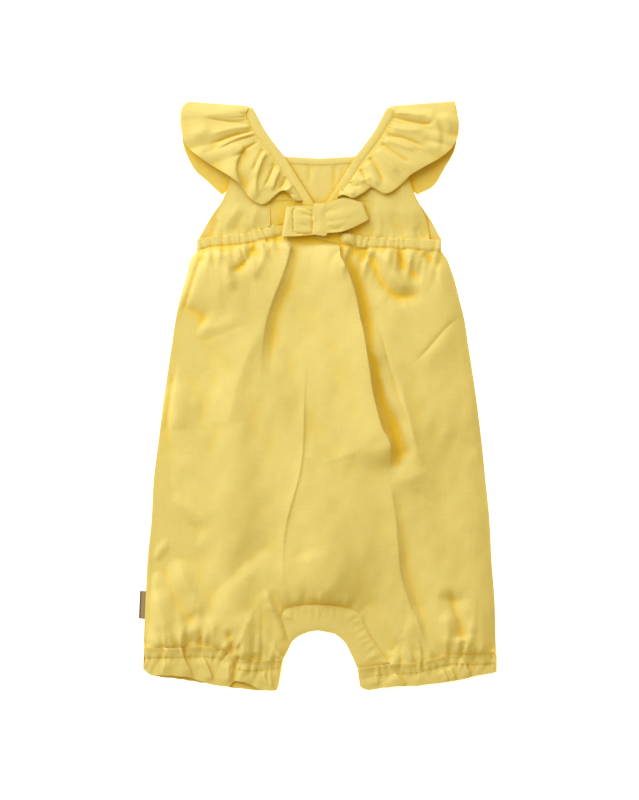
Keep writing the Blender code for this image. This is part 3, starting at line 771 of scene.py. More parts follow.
def buildBody():
    t = bodyTables
    hemLeft, hemRight, arch = smoothLine(t["hemLeft"]), smoothLine(t["hemRight"]), smoothLine(t["arch"])
    seam, seamBack = smoothLine(t["gussetSeam"]), smoothLine(t["gussetSeamBack"])
    leftEdge, rightEdge = (smoothLine([(row[which], row[0]) for row in t["sides"]], 3) for which in (1, 2))
    outline = joined(
        smoothLine(t["waistLeft"]), smoothLine(t["waistRight"]), rightEdge,
        between(hemRight, t["gussetSeam"][-1][0], t["hemRight"][-1][0])[::-1], seam[::-1],
        between(arch, t["hemLeft"][-1][0], t["gussetStart"])[::-1], hemLeft[::-1], leftEdge[::-1],
    )

    def frontHeight(flat, rise):
        gap = edgeDistance(flat, outline)
        nearSeam = np.exp(-gap / 2.2)
        gap = np.where(awayFrom(flat, hemLeft, hemRight) < gap + 0.5, gap + hemLook["fullness"], gap)
        gap = np.minimum(gap, awayFrom(flat, leftEdge, rightEdge))
        full = bodyLook["puff"] * (1 - np.exp(-gap / bodyLook["roundness"]))
        swell = softWaves(flat, 21, 40, bodyLook["swell"], (1, 0.4))
        swell = swell + softWaves(flat, 23, 95, bodyLook["slope"], (1, 0.5))
        lift = np.exp(-awayFrom(flat, seam) / 5)
        fine = softWaves(flat, 24, 13, bodyLook["fine"], (1, 0.6))
        fine = fine + softWaves(flat, 25, 5.5, 0.3 * bodyLook["fine"])
        z = layer + full + (bodyLook["foldScale"] * rise + swell + fine) * (1 - nearSeam)
        for name, (_, _, reach) in seamLook.items():
            far, gather, stretch = seamPuckers(flat, name)
            if name.startswith("waist"):
                lift = np.maximum(lift, np.exp(-far / 5))
            rise = bodyLook["hemGatherRise" if name.startswith("hem") else "gatherRise"]
            z = z + rise * (gather * np.exp(-far / (reach * stretch)) - 0.5 * np.exp(-far / reach))
        return np.maximum(z + lift, 1.45)

    def sideShade(flat, value):
        # painted shade: fades out near the side edges, and a painted dark strip runs along the left edge
        leftEdgeShade = 0.3 * bell(awayFrom(flat, leftEdge), 6) * ease(awayFrom(flat, leftEdge), 0, 1.5)
        return value * ease(awayFrom(flat, leftEdge, rightEdge), 1, 7) + leftEdgeShade

    creases = [fold["line"] for fold in bodyFolds if fold.get("lean") or fold.get("crisp")]
    folds = bodyFolds + bodyGathers()
    front = layPanel("bodyFront", outline, frontHeight, bodyLook["pointSpacing"], folds, creases)
    addPaintedShade(front, 26, 1.5, sideShade)

    gussetOutline = joined(
        seam, between(hemRight, t["hemRight"][0][0], t["gussetSeam"][-1][0])[::-1],
        between(arch, t["gussetStart"], t["arch"][-1][0])[::-1],
    )

    def gussetHeight(flat, rise):
        inward = 1 - np.exp(-edgeDistance(flat, gussetOutline) / 2)
        seamSide = np.exp(-awayFrom(flat, seam) / 6)
        return 1.6 + 0.8 * inward + 0.9 * seamSide + np.clip(rise * inward, -0.7, 3)

    radial = gathers(smoothLine(t["gussetSeam"], 2), 26, 17, (8, 19), (0.8, 1.7), (0.35, 0.95), 0.1)
    addPaintedShade(layPanel("gussetFront", gussetOutline, gussetHeight, 1.3, radial), 30, 1.2)

    waist = 112.5
    backOutline = joined(
        np.array([(t["waistLeft"][0][0], waist), (t["waistRight"][-1][0], waist)]),
        rightEdge, hemRight[::-1],
        between(arch, t["gussetEndBack"], t["arch"][-1][0])[::-1], seamBack[::-1],
        between(hemLeft, t["hemLeft"][0][0], t["gussetSeamBack"][0][0])[::-1], leftEdge[::-1],
    )
    # the same folds mirrored, and far lower, because the back lies flat
    backFolds = [
        dict(fold, rise=0.16 * abs(fold["rise"]), lean=0, line=[(-x, y) for x, y in fold["line"]])
        for fold in bodyFolds
    ]

    def backHeight(flat, rise):
        return wall + np.clip(rise, 0, 0.55) * (1 - np.exp(-edgeDistance(flat, backOutline) / 5))

    addPaintedShade(layPanel("bodyBack", backOutline, backHeight, 3.2, backFolds))
    backGusset = joined(
        seamBack, between(arch, t["hemLeft"][-1][0], t["gussetEndBack"])[::-1],
        between(hemLeft, t["gussetSeamBack"][0][0], t["hemLeft"][-1][0])[::-1],
    )
    addPaintedShade(layPanel("gussetBack", backGusset, lambda flat, rise: np.full(len(flat), wall), 2.5))


# ---- elastic casings and leg hems

hemLook = dict(bulge=1.0, frill=0.8, pinch=2.3, fullness=9, pointSpacing=1.1)
# where the frill folds over itself, from the elastic down to the free edge
frillFolds = dict(
    Left=[
        foldAt(1.5, 0.9, 8, (-121.5, -192), (-118.8, -198), (-119.2, -207), (-121.5, -218)),
        foldAt(2.2, 9, 0.9, (-109.3, -188), (-106, -202), (-102.2, -211), (-95.7, -220.5), lean=1.3),
        foldAt(1.9, 6, 0.9, (-91, -202), (-86.6, -211.3), (-81.4, -224.2), lean=1.1),
        foldAt(-2.2, 1.1, 1.3, (-65, -205), (-64.6, -213), (-66.4, -226)),
        foldAt(1.6, 4, 2.6, (-70, -206), (-69.5, -215), (-70.5, -226)),
        foldAt(1.5, 2.6, 8, (-60, -208), (-60, -216), (-61, -226)),
        foldAt(1, 1.1, 1.3, (-43, -213), (-41.5, -219), (-40, -227)),
        foldAt(1, 1.1, 1.3, (-38.5, -213), (-37, -219), (-36, -228)),
    ],
    Right=[
        foldAt(0.8, 4, 1.2, (44, -216), (46, -221), (47, -226)),
        foldAt(2, 8, 0.9, (58, -215.5), (64, -222), (69.5, -227), lean=1.3),
        foldAt(0.6, 6, 2, (80, -215), (84, -220), (87, -225)),
        foldAt(1.5, 4.5, 0.9, (96, -213), (99.5, -219), (101.6, -223.5), lean=0.9),
        foldAt(1.6, 2.6, 0.9, (101.5, -210.5), (105, -217), (107.6, -222), lean=0.9),
        foldAt(1.9, 5, 0.9, (111.5, -204), (114.4, -211.3), (119.8, -219.5), lean=1.2),
    ],
)


hemElastics = dict(
    Left=[(-135, -205), (-118.6, -204.4), (-80, -204.6), (-64.7, -212.4), (-51.5, -214.9), (-28.2, -212.4)],
    Right=[(32.2, -219.8), (59.3, -217.2), (76.4, -216.3), (101.4, -210), (119.3, -210), (138.6, -209)],
)


def hemHeight(rest, elastic, seamName, seed, scale=1.0):
    # gathered by the elastic: puckered between the seam and its line, a loose frill below it
    def height(flat, rise):
        side, along, _ = measure(flat, elastic)
        toSeam, gather, _ = seamPuckers(flat, seamName)
        mixed = 0.75 * gather + 0.35 * puckers(along + 0.4 * side, seed, 4.2)
        slack = 0.5 + 0.5 * softWaves(flat, seed + 3, 22, 1.0, (1, 0.2))
        casing = hemLook["bulge"] * ease(side, -0.5, 2) * bell(side - 4, 4, 4) * (0.15 + 0.85 * mixed)
        casing = casing * np.clip(slack, 0.1, 1.4) * (1 - np.exp(-toSeam / 2.5))
        seamPart = 0.1 + scale * 3.2 * np.exp(-toSeam / 6) + 3.4 * (gather - 0.5) * np.exp(-toSeam / 5)
        loose = 0.3 + 0.7 * puckers(along - 0.5 * side, seed + 1, 11, sharp=1)
        frill = hemLook["frill"] * ease(-side, 0.3, 5) * loose
        groove = -0.5 * bell(side, 0.8) * np.clip(slack, 0, 1)
        pinch = hemLook["pinch"] * bell(side, 2.8) * (puckers(along, seed + 2, 4.2) - 0.45)
        pinch = pinch * np.clip(slack + 0.2, 0.2, 1.2)
        shape = casing + seamPart + frill + groove + pinch + 1.3 * rise
        return rest + 0.7 + np.maximum(0.05, 0.2 + scale * shape)
    return height


def wavyEdge(line, seed, amount, size=7):
    # the free edge of gathered cloth
    moved = line.copy()
    moved[1:-1, 1] += amount * (puckers(lengthAlong(line), seed, size, sharp=1) - 0.5)[1:-1]
    return moved


def buildHems():
    t = bodyTables
    for k, side in enumerate(("Left", "Right")):
        name = "hem" + side
        seam, edge = smoothLine(t[name], 1.5), smoothLine(t[name + "Edge"], 1.5)
        elastic = smoothLine(hemElastics[side], 2)
        frontEdge = smoothLine(t["hemLeftFront"], 1.5) if side == "Left" else edge
        outline = joined(seam, wavyEdge(frontEdge, 31 + k, 0.5, 12)[::-1])
        height = hemHeight(layer, elastic, name, 141 + 5 * k)
        folds = frillFolds[side]
        creases = [fold["line"] for fold in folds]
        front = layPanel("legHemFront" + side, outline, height, hemLook["pointSpacing"], folds, creases)
        addPaintedShade(front, 20, 0.9)
        backOutline = joined(seam, wavyEdge(edge, 51 + k, 0.6, 11)[::-1])
        ripple = hemHeight(0, elastic, name, 161 + 5 * k, 0.2)

        def backHeight(flat, rise, ripple=ripple):
            return np.minimum(ripple(flat, rise) - 0.4, 1.3)
        back = layPanel("legHemBack" + side, backOutline, backHeight, 2)
        # painted shade all over the back frill, which lies under the front
        addPaintedShade(back, 30, 1.3, lambda flat, value: value + 0.9)


def buildWaist():
    t = bodyTables
    for k, side in enumerate(("Left", "Right")):
        low, high = smoothLine(t["waist" + side], 1.5), smoothLine(t["waist" + side + "Top"], 1.5)
        elastic = (low + resampled(high, low)) / 2

        def height(flat, rise, elastic=elastic, k=k, side=side):
            off, along, _ = measure(flat, elastic)
            gather = seamPuckers(flat, "waist" + side)[1]
            fine = puckers(along + 0.6 * off, 171 + k, 3.2, sharp=0.35)
            rounded = np.clip(1 - (np.abs(off) / 4.9) ** 3, 0, 1)
            grown = ease(-30 - flat[:, 0], 0, 8) if side == "Left" else 1
            z = 2.55 + rounded * (0.3 + gather + 0.8 * fine * grown)
            z = z + 1.9 * (gather - 0.5) * (1 - rounded)
            if side == "Right":
                # the casing bunches up beside the bow
                z = z + 2.6 * bell(flat[:, 0] - 23.5, 4.6, 4) * rounded
            return np.maximum(z, 2.25)
        outline = joined(low, wavyEdge(high, 61 + k, 1.8, 4.5)[::-1])
        addPaintedShade(layPanel("waistCasing" + side, outline, height, 1.05), 20, 0.9)
    left, right = t["waistLeft"][0][0] - 0.6, t["waistRight"][-1][0]
    outline = np.array([(left, 112.5), (right, 112.5), (right, 121.5), (left, 121.5)], float)

    def backHeight(flat, rise):
        return wall + 0.45 * puckers(flat[:, 0] - left, 77, 6) * bell(flat[:, 1] - 117, 3.4, 4)
    addPaintedShade(layPanel("waistCasingBack", outline, backHeight, 1.8), 30, 1)


# ---- the bodice

bodiceTables = dict(
    armholeFront=[
        (85.3, 122.5), (82.5, 137.5), (79, 145), (74.5, 152.5), (68.5, 170), (67.5, 200), (66, 218),
        (62, 224.8),
    ],
    armholeBack=[
        (94.5, 121.5), (90.5, 129), (86, 137), (80.6, 144.8), (75.5, 152.5), (69.5, 170), (68.5, 200),
        (66, 218), (62, 224.8),
    ],
    panelEdge=39,
    insetTop=152,
    neckFoot=134,
    neckIn=[
        (0.3, 142), (7, 152.8), (14.5, 164.5), (21.5, 175.7), (28.9, 187.2), (32.5, 191.8), (38.2, 199.3),
        (43.6, 207.2), (48.3, 216), (52.3, 223.6),
    ],
    neckOut=[
        (3.8, 134), (9.5, 143), (20, 160), (27.5, 171.8), (34.8, 183.5), (44, 196), (49.6, 204.5),
        (55, 214), (60.2, 224.2),
    ],
    backNeckIn=[(0, 184.5), (12, 185), (20, 185.7), (29.2, 187.4), (43.6, 206), (52.8, 223.4)],
    backNeckOut=[(0, 178.8), (20, 179.9), (32.5, 182.5), (48.5, 203), (60.2, 224)],
)
bodiceFolds = [
    foldAt(-1, 0.9, 1.1, (-6.5, 179), (-6.6, 172), (-7, 164), grow=1),
    foldAt(-1, 0.9, 1.1, (13, 179), (13, 171), (12.2, 162), grow=1),
    foldAt(-0.35, 0.9, 1, (-14.5, 179), (-14, 175), (-13, 171), grow=1),
    foldAt(-0.3, 0.9, 1, (3, 179), (3.2, 176), (3.6, 171), grow=1),
    foldAt(-0.35, 0.9, 1, (20, 179), (19, 176), (18, 173), grow=1),
    foldAt(0.35, 4, 3, (-3, 176), (-2, 164), (0, 150), grow=6),
]
frontBodiceFolds = [
    foldAt(0.9, 4, 3, (-76, 126), (-68, 138), (-58, 152)),
    foldAt(-0.7, 3, 3, (-66, 126), (-62, 134), (-56, 144), grow=3),
    foldAt(0.7, 3, 3, (-52, 130), (-50, 138), (-46, 150), grow=3),
    foldAt(0.9, 4, 3, (80, 124), (72, 136), (62, 150)),
    foldAt(-0.7, 3, 3, (66, 122), (62, 132), (58, 144), grow=3),
    foldAt(0.7, 3, 3, (48, 123), (48, 136), (44, 150), grow=3),
    foldAt(-0.7, 3, 3, (86, 124), (80, 134), (76, 144), grow=3),
    foldAt(-1, 0.9, 1.2, (84, 123), (81, 129), (79, 136), grow=1),
    foldAt(-0.9, 0.9, 1.2, (79, 122), (77.5, 127), (76, 132), grow=1),
    foldAt(-1, 0.9, 1.2, (-83, 124), (-80, 130), (-77, 138), grow=1),
]


def backRest(flat):
    return layer * ease(flat[:, 1], 134, 150)


def frontRest(flat):
    return layer + 1.8 * ease(flat[:, 1], 127, 143)


def buildBodice():
    t = bodiceTables
    inner, outer = smoothLine(t["neckIn"], 2.5), smoothLine(t["neckOut"], 2.5)
    backInner, backOuter = smoothLine(t["backNeckIn"], 2.5), smoothLine(t["backNeckOut"], 2.5)
    armhole, armholeBack = smoothLine(t["armholeFront"]), smoothLine(t["armholeBack"])
    insetTop = t["insetTop"]

    def panelHeight(flat, rise):
        gap = awayFrom(flat, sided(armhole, -1), sided(armhole, 1))
        rest = backRest(flat) + wall + (frontRest(flat) - backRest(flat) - wall) * ease(gap, -1, 8)
        z = rest + wall + 0.65 + np.clip(1.2 * rise, -0.6, 2.2) + softWaves(flat, 81, 30, 0.25)
        for name in ("waistLeft", "waistRight"):
            off = awayFrom(flat, smoothLine(bodyTables[name + "Top"], 1.5))
            z = z + 1.6 * (seamPuckers(flat, name)[1] - 0.5) * np.exp(-off / 4)
        return np.maximum(z, rest + wall + 0.05)

    for k, (name, side) in enumerate((("Left", -1), ("Right", 1))):
        tops = smoothLine(bodyTables["waist" + name + "Top"])
        edgeX = middle + side * t["panelEdge"]
        hole = sided(armhole, side)
        hole[0, 1] = np.interp(hole[0, 0], tops[:, 0], tops[:, 1])
        low, high = sorted((edgeX, hole[0, 0]))
        seam = between(tops, low, high)[:: -side]
        neck = sided(outer[outer[:, 1] > insetTop], side)
        foot = np.array([(middle + side * np.interp(insetTop, outer[:, 1], outer[:, 0]), insetTop)])
        outline = joined(seam, np.array([(edgeX, insetTop)]), foot, neck, hole[::-1])
        rays = gathers(seam[::side], 9, 91 + k, reach=(6, 16), rise=(0.3, 0.8), side=1)
        panel = layPanel("bodiceFront" + name, outline, panelHeight, 1.6, frontBodiceFolds + rays)
        addPaintedShade(panel, 30, 1.4)

        centre = sided((inner + sharedOut(outer, inner)) / 2, side)
        start = np.array([(middle + side * 0.3, t["neckFoot"])])
        band = joined(sided(inner, side), sided(outer, side)[::-1], start)

        def bandHeight(flat, rise, centre=centre, k=k):
            off, along, _ = measure(flat, centre)
            rounded = np.sqrt(np.clip(1 - (np.abs(off) / 4.6) ** 2, 0, 1))
            rest = frontRest(flat) + wall + 0.25
            return rest + 1.25 * rounded + 0.12 * puckers(along, 95 + k, 5) + softWaves(flat, 82, 20, 0.1)
        addPaintedShade(layPanel("neckBinding" + name, band, bandHeight, 1.1), 20, 1.2)

    waistLeft, waistRight = smoothLine(bodyTables["waistLeftTop"]), smoothLine(bodyTables["waistRightTop"])
    leftX, rightX = middle - t["panelEdge"], middle + t["panelEdge"]
    notch = outer[outer[:, 1] < insetTop]
    notch = np.vstack([notch, [(np.interp(insetTop, outer[:, 1], outer[:, 0]), insetTop)]])
    outline = joined(
        between(waistLeft, leftX, waistLeft[-1][0]),
        np.array([bodyTables["waistLeft"][-1], bodyTables["waistRight"][0]], float),
        between(waistRight, waistRight[0][0], rightX),
        np.array([(rightX, insetTop)]), sided(notch, 1)[::-1],
        sided(notch, -1), np.array([(leftX, insetTop)]),
    )

    def insetShade(flat, value):
        # painted shade over the inset, deeper on its left part
        return value + 0.15 + 0.45 * ease(-flat[:, 0], 20, 30)

    def insetHeight(flat, rise):
        return frontRest(flat) + wall + softWaves(flat, 83, 16, 0.1) + 0.1
    addPaintedShade(layPanel("bodiceInset", outline, insetHeight, 1.6), 30, 1.4, insetShade)

    neck = np.vstack([sided(backOuter, -1)[::-1], sided(backOuter, 1)[1:]])
    top = np.vstack([sided(backInner, -1)[::-1], sided(backInner, 1)[1:]])

    def backHeight(flat, rise):
        return backRest(flat) + wall + np.clip(0.7 + rise, 0, 1.4) * ease(flat[:, 1], 138, 152)
    outline = joined(sided(armholeBack, 1), neck[::-1], sided(armholeBack, -1)[::-1])
    addPaintedShade(layPanel("bodiceBack", outline, backHeight, 1.8, bodiceFolds), 16, 0.5)
    centre = (sharedOut(neck, top) + top) / 2

    def backBandHeight(flat, rise):
        off, along, _ = measure(flat, centre)
        rounded = np.sqrt(np.clip(1 - (np.abs(off) / 3.6) ** 2, 0, 1))
        return backRest(flat) + wall + 1.1 * rounded + 0.15 * puckers(along, 99, 4)
    addPaintedShade(layPanel("neckBindingBack", joined(neck, top[::-1]), backBandHeight, 1.1), 20, 1.2)


# ---- ruffles, bow and label

# a strip's stations: where a line across it starts, at its seam, and ends, at its free edge; the last
# ones of a ruffle lie under the back
ruffleStations = dict(
    Left=[
        ((-11.5, 151.5, 4.8), (-18.5, 151.5, 6.3)),
        ((-14, 155.5, 4.8), (-22, 156.5, 7.5)),
        ((-17, 160, 4.8), (-27.3, 159.5, 8.4)),
        ((-19.5, 164, 4.8), (-33.5, 156.4, 7.5)),
        ((-22.5, 168.5, 4.8), (-39, 150.3, 6)),
        ((-25.5, 173, 4.8), (-44.5, 148.8, 6.3)),
        ((-28.5, 177.5, 4.8), (-51.5, 152.5, 7.8)),
        ((-32.5, 183, 4.8), (-58.5, 160.3, 6.9)),
        ((-36.5, 188.5, 4.8), (-67.9, 169.7, 7.9)),
        ((-40.5, 193.5, 4.8), (-80.3, 177.5, 6.5)),
        ((-44.5, 198.5, 4.8), (-92, 185.3, 7.6)),
        ((-48, 204, 4.8), (-99.8, 191.7, 6.3)),
        ((-51, 209, 4.8), (-104.5, 199.3, 6.9)),
        ((-54, 214, 4.8), (-106.4, 208, 5.8)),
        ((-56, 218.5, 5.4), (-107, 216, 6)),
        ((-54.6, 222.6, 5.9), (-105.6, 224, 5.3)),
        ((-53.6, 225.2, 3.4), (-101, 228.6, 3.4)),
        ((-55.5, 222, 1), (-105.5, 221, 0.9)),
        ((-55, 212, 0.5), (-106.2, 207, 0.5)),
        ((-48.5, 202, 0.5), (-103.9, 191.5, 0.5)),
        ((-43, 194.5, 0.5), (-95.9, 175.9, 0.5)),
        ((-39, 189.5, 0.5), (-87.4, 168.1, 0.5)),
        ((-36, 186, 0.5), (-75, 156.5, 0.5)),
    ],
    Right=[
        ((14.6, 152.5, 4.8), (17.5, 160, 6.1)),
        ((17, 156, 4.8), (22, 156, 8.6)),
        ((19.5, 159.5, 4.8), (27, 153.6, 8.9)),
        ((22.5, 164, 4.8), (35, 157.5, 7.5)),
        ((25.5, 168.5, 4.8), (42.1, 161.9, 6.3)),
        ((29, 174, 4.8), (50.7, 157.2, 7.4)),
        ((33, 179.5, 4.8), (57.7, 158.7, 7.9)),
        ((37, 185.5, 4.8), (66.3, 165.8, 6.5)),
        ((41.5, 191.5, 4.8), (72, 171.5, 7.5)),
        ((46, 197.5, 4.8), (83, 178, 7.9)),
        ((50.5, 203.5, 4.8), (94, 184.2, 6.9)),
        ((54, 209, 4.8), (104, 192.5, 7.6)),
        ((57, 214, 4.8), (108.6, 202, 6)),
        ((59, 218.5, 5.4), (109.4, 213, 6.3)),
        ((57.6, 222.6, 5.9), (107.6, 221, 5.4)),
        ((56.4, 225.2, 3.4), (106.6, 229, 3.4)),
        ((58.5, 222, 1), (108.5, 220, 0.9)),
        ((58, 212, 0.5), (108.8, 207, 0.5)),
        ((51.5, 202, 0.5), (106.3, 191.5, 0.5)),
        ((46, 194.5, 0.5), (98.5, 177, 0.5)),
        ((42, 189.5, 0.5), (90, 163.5, 0.5)),
        ((39, 186, 0.5), (77.4, 156.8, 0.5)),
    ],
)
ruffleLook = dict(gatherSize=5.5, gatherRise=0.8, fluteSize=17, fluteRise=1.2, foldScale=1.15)
ruffleFolds = dict(
    Left=[
        foldAt(-1.1, 1, 1.6, (-56, 212), (-70, 213), (-89, 216), grow=2),
        foldAt(0.8, 4, 5, (-57, 218), (-74, 219), (-93.6, 217), grow=3),
        foldAt(-1.9, 1.2, 1.6, (-52, 205.7), (-66, 202), (-84.5, 195), grow=1),
        foldAt(1.3, 3.4, 2.4, (-53, 209), (-68, 207), (-86, 202), grow=2),
        foldAt(-1.6, 1.1, 1.4, (-51, 202), (-64, 198), (-79, 190), grow=1),
        foldAt(1.5, 1.8, 1.8, (-50, 203.5), (-62, 200), (-76, 193), grow=2),
        foldAt(-1.5, 1.1, 1.5, (-47.5, 197), (-56, 192), (-68, 184), grow=1),
        foldAt(2.6, 9, 1.6, (-58, 196), (-62.7, 186), (-65, 175), (-61, 163), (-56, 156), lean=1.4, grow=6,
               fall=4),
        foldAt(-1.6, 1, 1.5, (-43, 192), (-47, 184), (-52, 172), grow=1),
        foldAt(2, 4, 1.6, (-41, 190), (-46, 178), (-49, 164), (-47, 152), lean=0.9, grow=4),
        foldAt(-1.6, 1, 1.4, (-34, 181), (-37, 172), (-42, 161), grow=1),
        foldAt(1.8, 3, 1.5, (-30, 176), (-34, 167), (-36, 158), lean=0.8, grow=3),
        foldAt(-1.7, 1.4, 1.6, (-25, 170), (-27, 165), (-30, 160), grow=1),
        foldAt(1.6, 2.4, 1.4, (-20, 164), (-23, 160), (-26, 158), grow=2),
        foldAt(1.2, 6, 5, (-84, 210), (-92, 204), (-100, 202)),
        foldAt(-1.2, 3, 4, (-76, 196), (-84, 190), (-92, 187)),
    ],
    Right=[
        foldAt(-1.6, 1.1, 1.8, (57.5, 217), (73.6, 212.6), (87.4, 211.4), (90.8, 220.6), grow=2),
        foldAt(1.6, 7, 1.5, (86, 224), (89, 217), (93.1, 209.2), (94.5, 200), (93.1, 188), grow=3, fall=8),
        foldAt(1.5, 3.4, 3, (60, 221), (74, 219), (86, 217), grow=3),
        foldAt(1.4, 3, 3, (57, 208), (70, 206.5), (84, 206), grow=3),
        foldAt(-1.7, 1.1, 1.6, (54.1, 202), (66.7, 200), (86, 192), grow=1),
        foldAt(1.6, 2.4, 2.2, (52, 199), (64, 195), (78, 190), grow=2),
        foldAt(-1.5, 1, 1.5, (49.5, 196), (60, 188), (73.6, 179.3), grow=1),
        foldAt(1.5, 2.6, 2, (46, 191), (54, 182), (64, 172), grow=2),
        foldAt(-1.6, 1, 1.6, (40, 185), (46, 176), (52, 163), grow=1),
        foldAt(1.6, 2.4, 4, (37, 181), (42, 173), (46.5, 161), grow=3),
        foldAt(-1.4, 1, 1.3, (33, 176), (36, 170), (38, 163), grow=1),
        foldAt(1.7, 3, 2.6, (28, 171), (32, 167), (38, 168), (41, 173), grow=2),
        foldAt(-1.2, 1, 1.3, (25, 166), (28, 163), (34, 163), grow=1),
        foldAt(1.2, 2.4, 2.8, (21, 162), (24, 158), (30, 157), grow=1),
        foldAt(1.3, 5, 4, (96, 222), (101, 212), (102, 200)),
        foldAt(-1.3, 3, 4, (80, 200), (90, 196), (100, 196)),
    ],
)


def ruffleShape(seed, length, turn, folds):
    # small gathers at the seam that open into wider flutes, with the main folds laid over them;
    # flat where it lies under the back
    def shape(grid, s, t):
        along = s[:, 0] * length
        small = puckers(along, seed, ruffleLook["gatherSize"])[:, None] - 0.6
        wide = puckers(along, seed + 1, ruffleLook["fluteSize"], sharp=1.1)[:, None] - 0.4
        front = 1 - ease(s, turn - 0.07, turn)
        mid = np.sin(math.pi * np.clip(t, 0, 1)) ** 0.7
        rise, shift = layFolds(grid[:, :, :2].reshape(-1, 2), folds)
        rise, shift = rise.reshape(grid.shape[:2]), shift.reshape(*grid.shape[:2], 2)
        z = ruffleLook["gatherRise"] * small * ease(s, 0.12, 0.3) * ease(t, 0, 0.05) * bell(t, 0.22)
        z = z + ruffleLook["fluteRise"] * wide * ease(t, 0.2, 0.95) + 1.7 * mid
        z = z + ruffleLook["foldScale"] * rise * ease(t, 0, 0.05)
        moved = grid.copy()
        moved[:, :, 2] += z * front
        moved[:, :, :2] += shift * front[:, :, None]
        floor = np.where(s < turn, 4.6 * front + 0.35 * (1 - front), 0.35)
        moved[:, :, 2] = np.maximum(moved[:, :, 2], floor)
        return moved
    return shape


bowStations = dict(
    Left=[
        ((-4, 126, 5.3), (-4, 145, 5.3)),
        ((-15, 123.5, 5.2), (-13, 147, 5.2)),
        ((-25, 123.2, 5.2), (-22.3, 147.2, 5.2)),
        ((-27.9, 123.5, 6.2), (-24.4, 146.8, 6.2)),
        ((-25, 123.6, 7.2), (-22.3, 146.8, 7.2)),
        ((-15, 124, 7.8), (-13, 147.4, 7.8)),
        ((-2, 125.2, 8), (-2, 146.5, 8)),
    ],
    Right=[
        ((7.3, 127.5, 5.3), (7.3, 148, 5.3)),
        ((20, 128.5, 5.2), (20, 151.4, 5.2)),
        ((36, 135.8, 5.2), (32.2, 150, 5.2)),
        ((39, 137.5, 6.2), (34.8, 149.5, 6.2)),
        ((36, 135, 7.2), (32.2, 150.5, 7.2)),
        ((20, 127.8, 8), (20, 153.4, 8)),
        ((5.5, 126.2, 8), (5.5, 149, 8)),
    ],
)
knotLine = [
    (-3.2, 125.6), (1.6, 124.6), (6.6, 125.4), (6.2, 137), (6.6, 148.2), (1.6, 149), (-3.2, 148.2),
    (-2.8, 137),
]
bowFolds = dict(
    Left=[
        foldAt(-1.3, 0.6, 0.6, (-17, 146.2), (-19.3, 144), (-19.2, 134), (-18.6, 127.5), (-16, 125.9),
               (-10, 125.4), (-3.5, 126.2), grow=2, fall=1),
        foldAt(-1.2, 0.6, 0.6, (-4.4, 145), (-4.3, 135), (-4.2, 127), grow=1, fall=1),
        foldAt(-0.8, 0.6, 0.7, (-3.6, 142), (-9, 145), (-15, 147.2), grow=2, fall=2),
        foldAt(0.7, 1.3, 1.3, (-4, 140), (-10, 143), (-16, 145), grow=2, fall=3),
        foldAt(-0.7, 0.7, 0.9, (-4, 139), (-9, 140.5), (-14, 141), grow=1, fall=4),
        foldAt(-0.6, 0.7, 0.8, (-4, 129), (-9, 131.5), (-14, 134), grow=1, fall=3),
        foldAt(0.5, 1.6, 1.6, (-22, 146), (-23.5, 136), (-24.5, 126)),
    ],
    Right=[
        foldAt(-0.8, 0.7, 0.9, (7, 131), (12, 129.8), (17, 130.4), (20, 132.5), grow=1, fall=3),
        foldAt(-0.7, 0.6, 0.7, (8, 128.6), (14, 128.5), (20, 129.4), grow=1, fall=3),
        foldAt(0.5, 1.3, 1.3, (7, 133), (14, 133.5), (24, 136), grow=1, fall=4),
        foldAt(-0.3, 1.6, 1.8, (7, 143), (14, 144), (20, 145), grow=1, fall=5),
        foldAt(0.4, 3, 3, (7, 138), (15, 138), (28, 141), grow=1, fall=8),
    ],
)


def bowShape(seed, folds):
    # creases that leave the knot and fade along the loop
    places, rises = (0.16, 0.34, 0.55, 0.74, 0.9), (0.2, -0.25, 0.3, -0.2, 0.15)

    def shape(grid, s, t):
        rng = np.random.default_rng(seed)
        moved = grid.copy()
        top = ease(s, 0.5, 0.62)
        fromKnot = bell(1 - s, 0.26)
        for place, width, rise in zip(places, rng.uniform(0.06, 0.1, 5), rises):
            centre = 0.5 + (place - 0.5) * (1 + 0.15 * (1 - s))
            moved[:, :, 2] += top * rise * fromKnot * bell(t - centre, width)
        moved[:, :, 2] += top * 0.6 * np.sin(math.pi * t) * np.sin(math.pi * np.clip((s - 0.5) * 2, 0, 1))
        rise = layFolds(grid[:, :, :2].reshape(-1, 2), folds)[0].reshape(grid.shape[:2])
        moved[:, :, 2] += top * rise
        return moved
    return shape


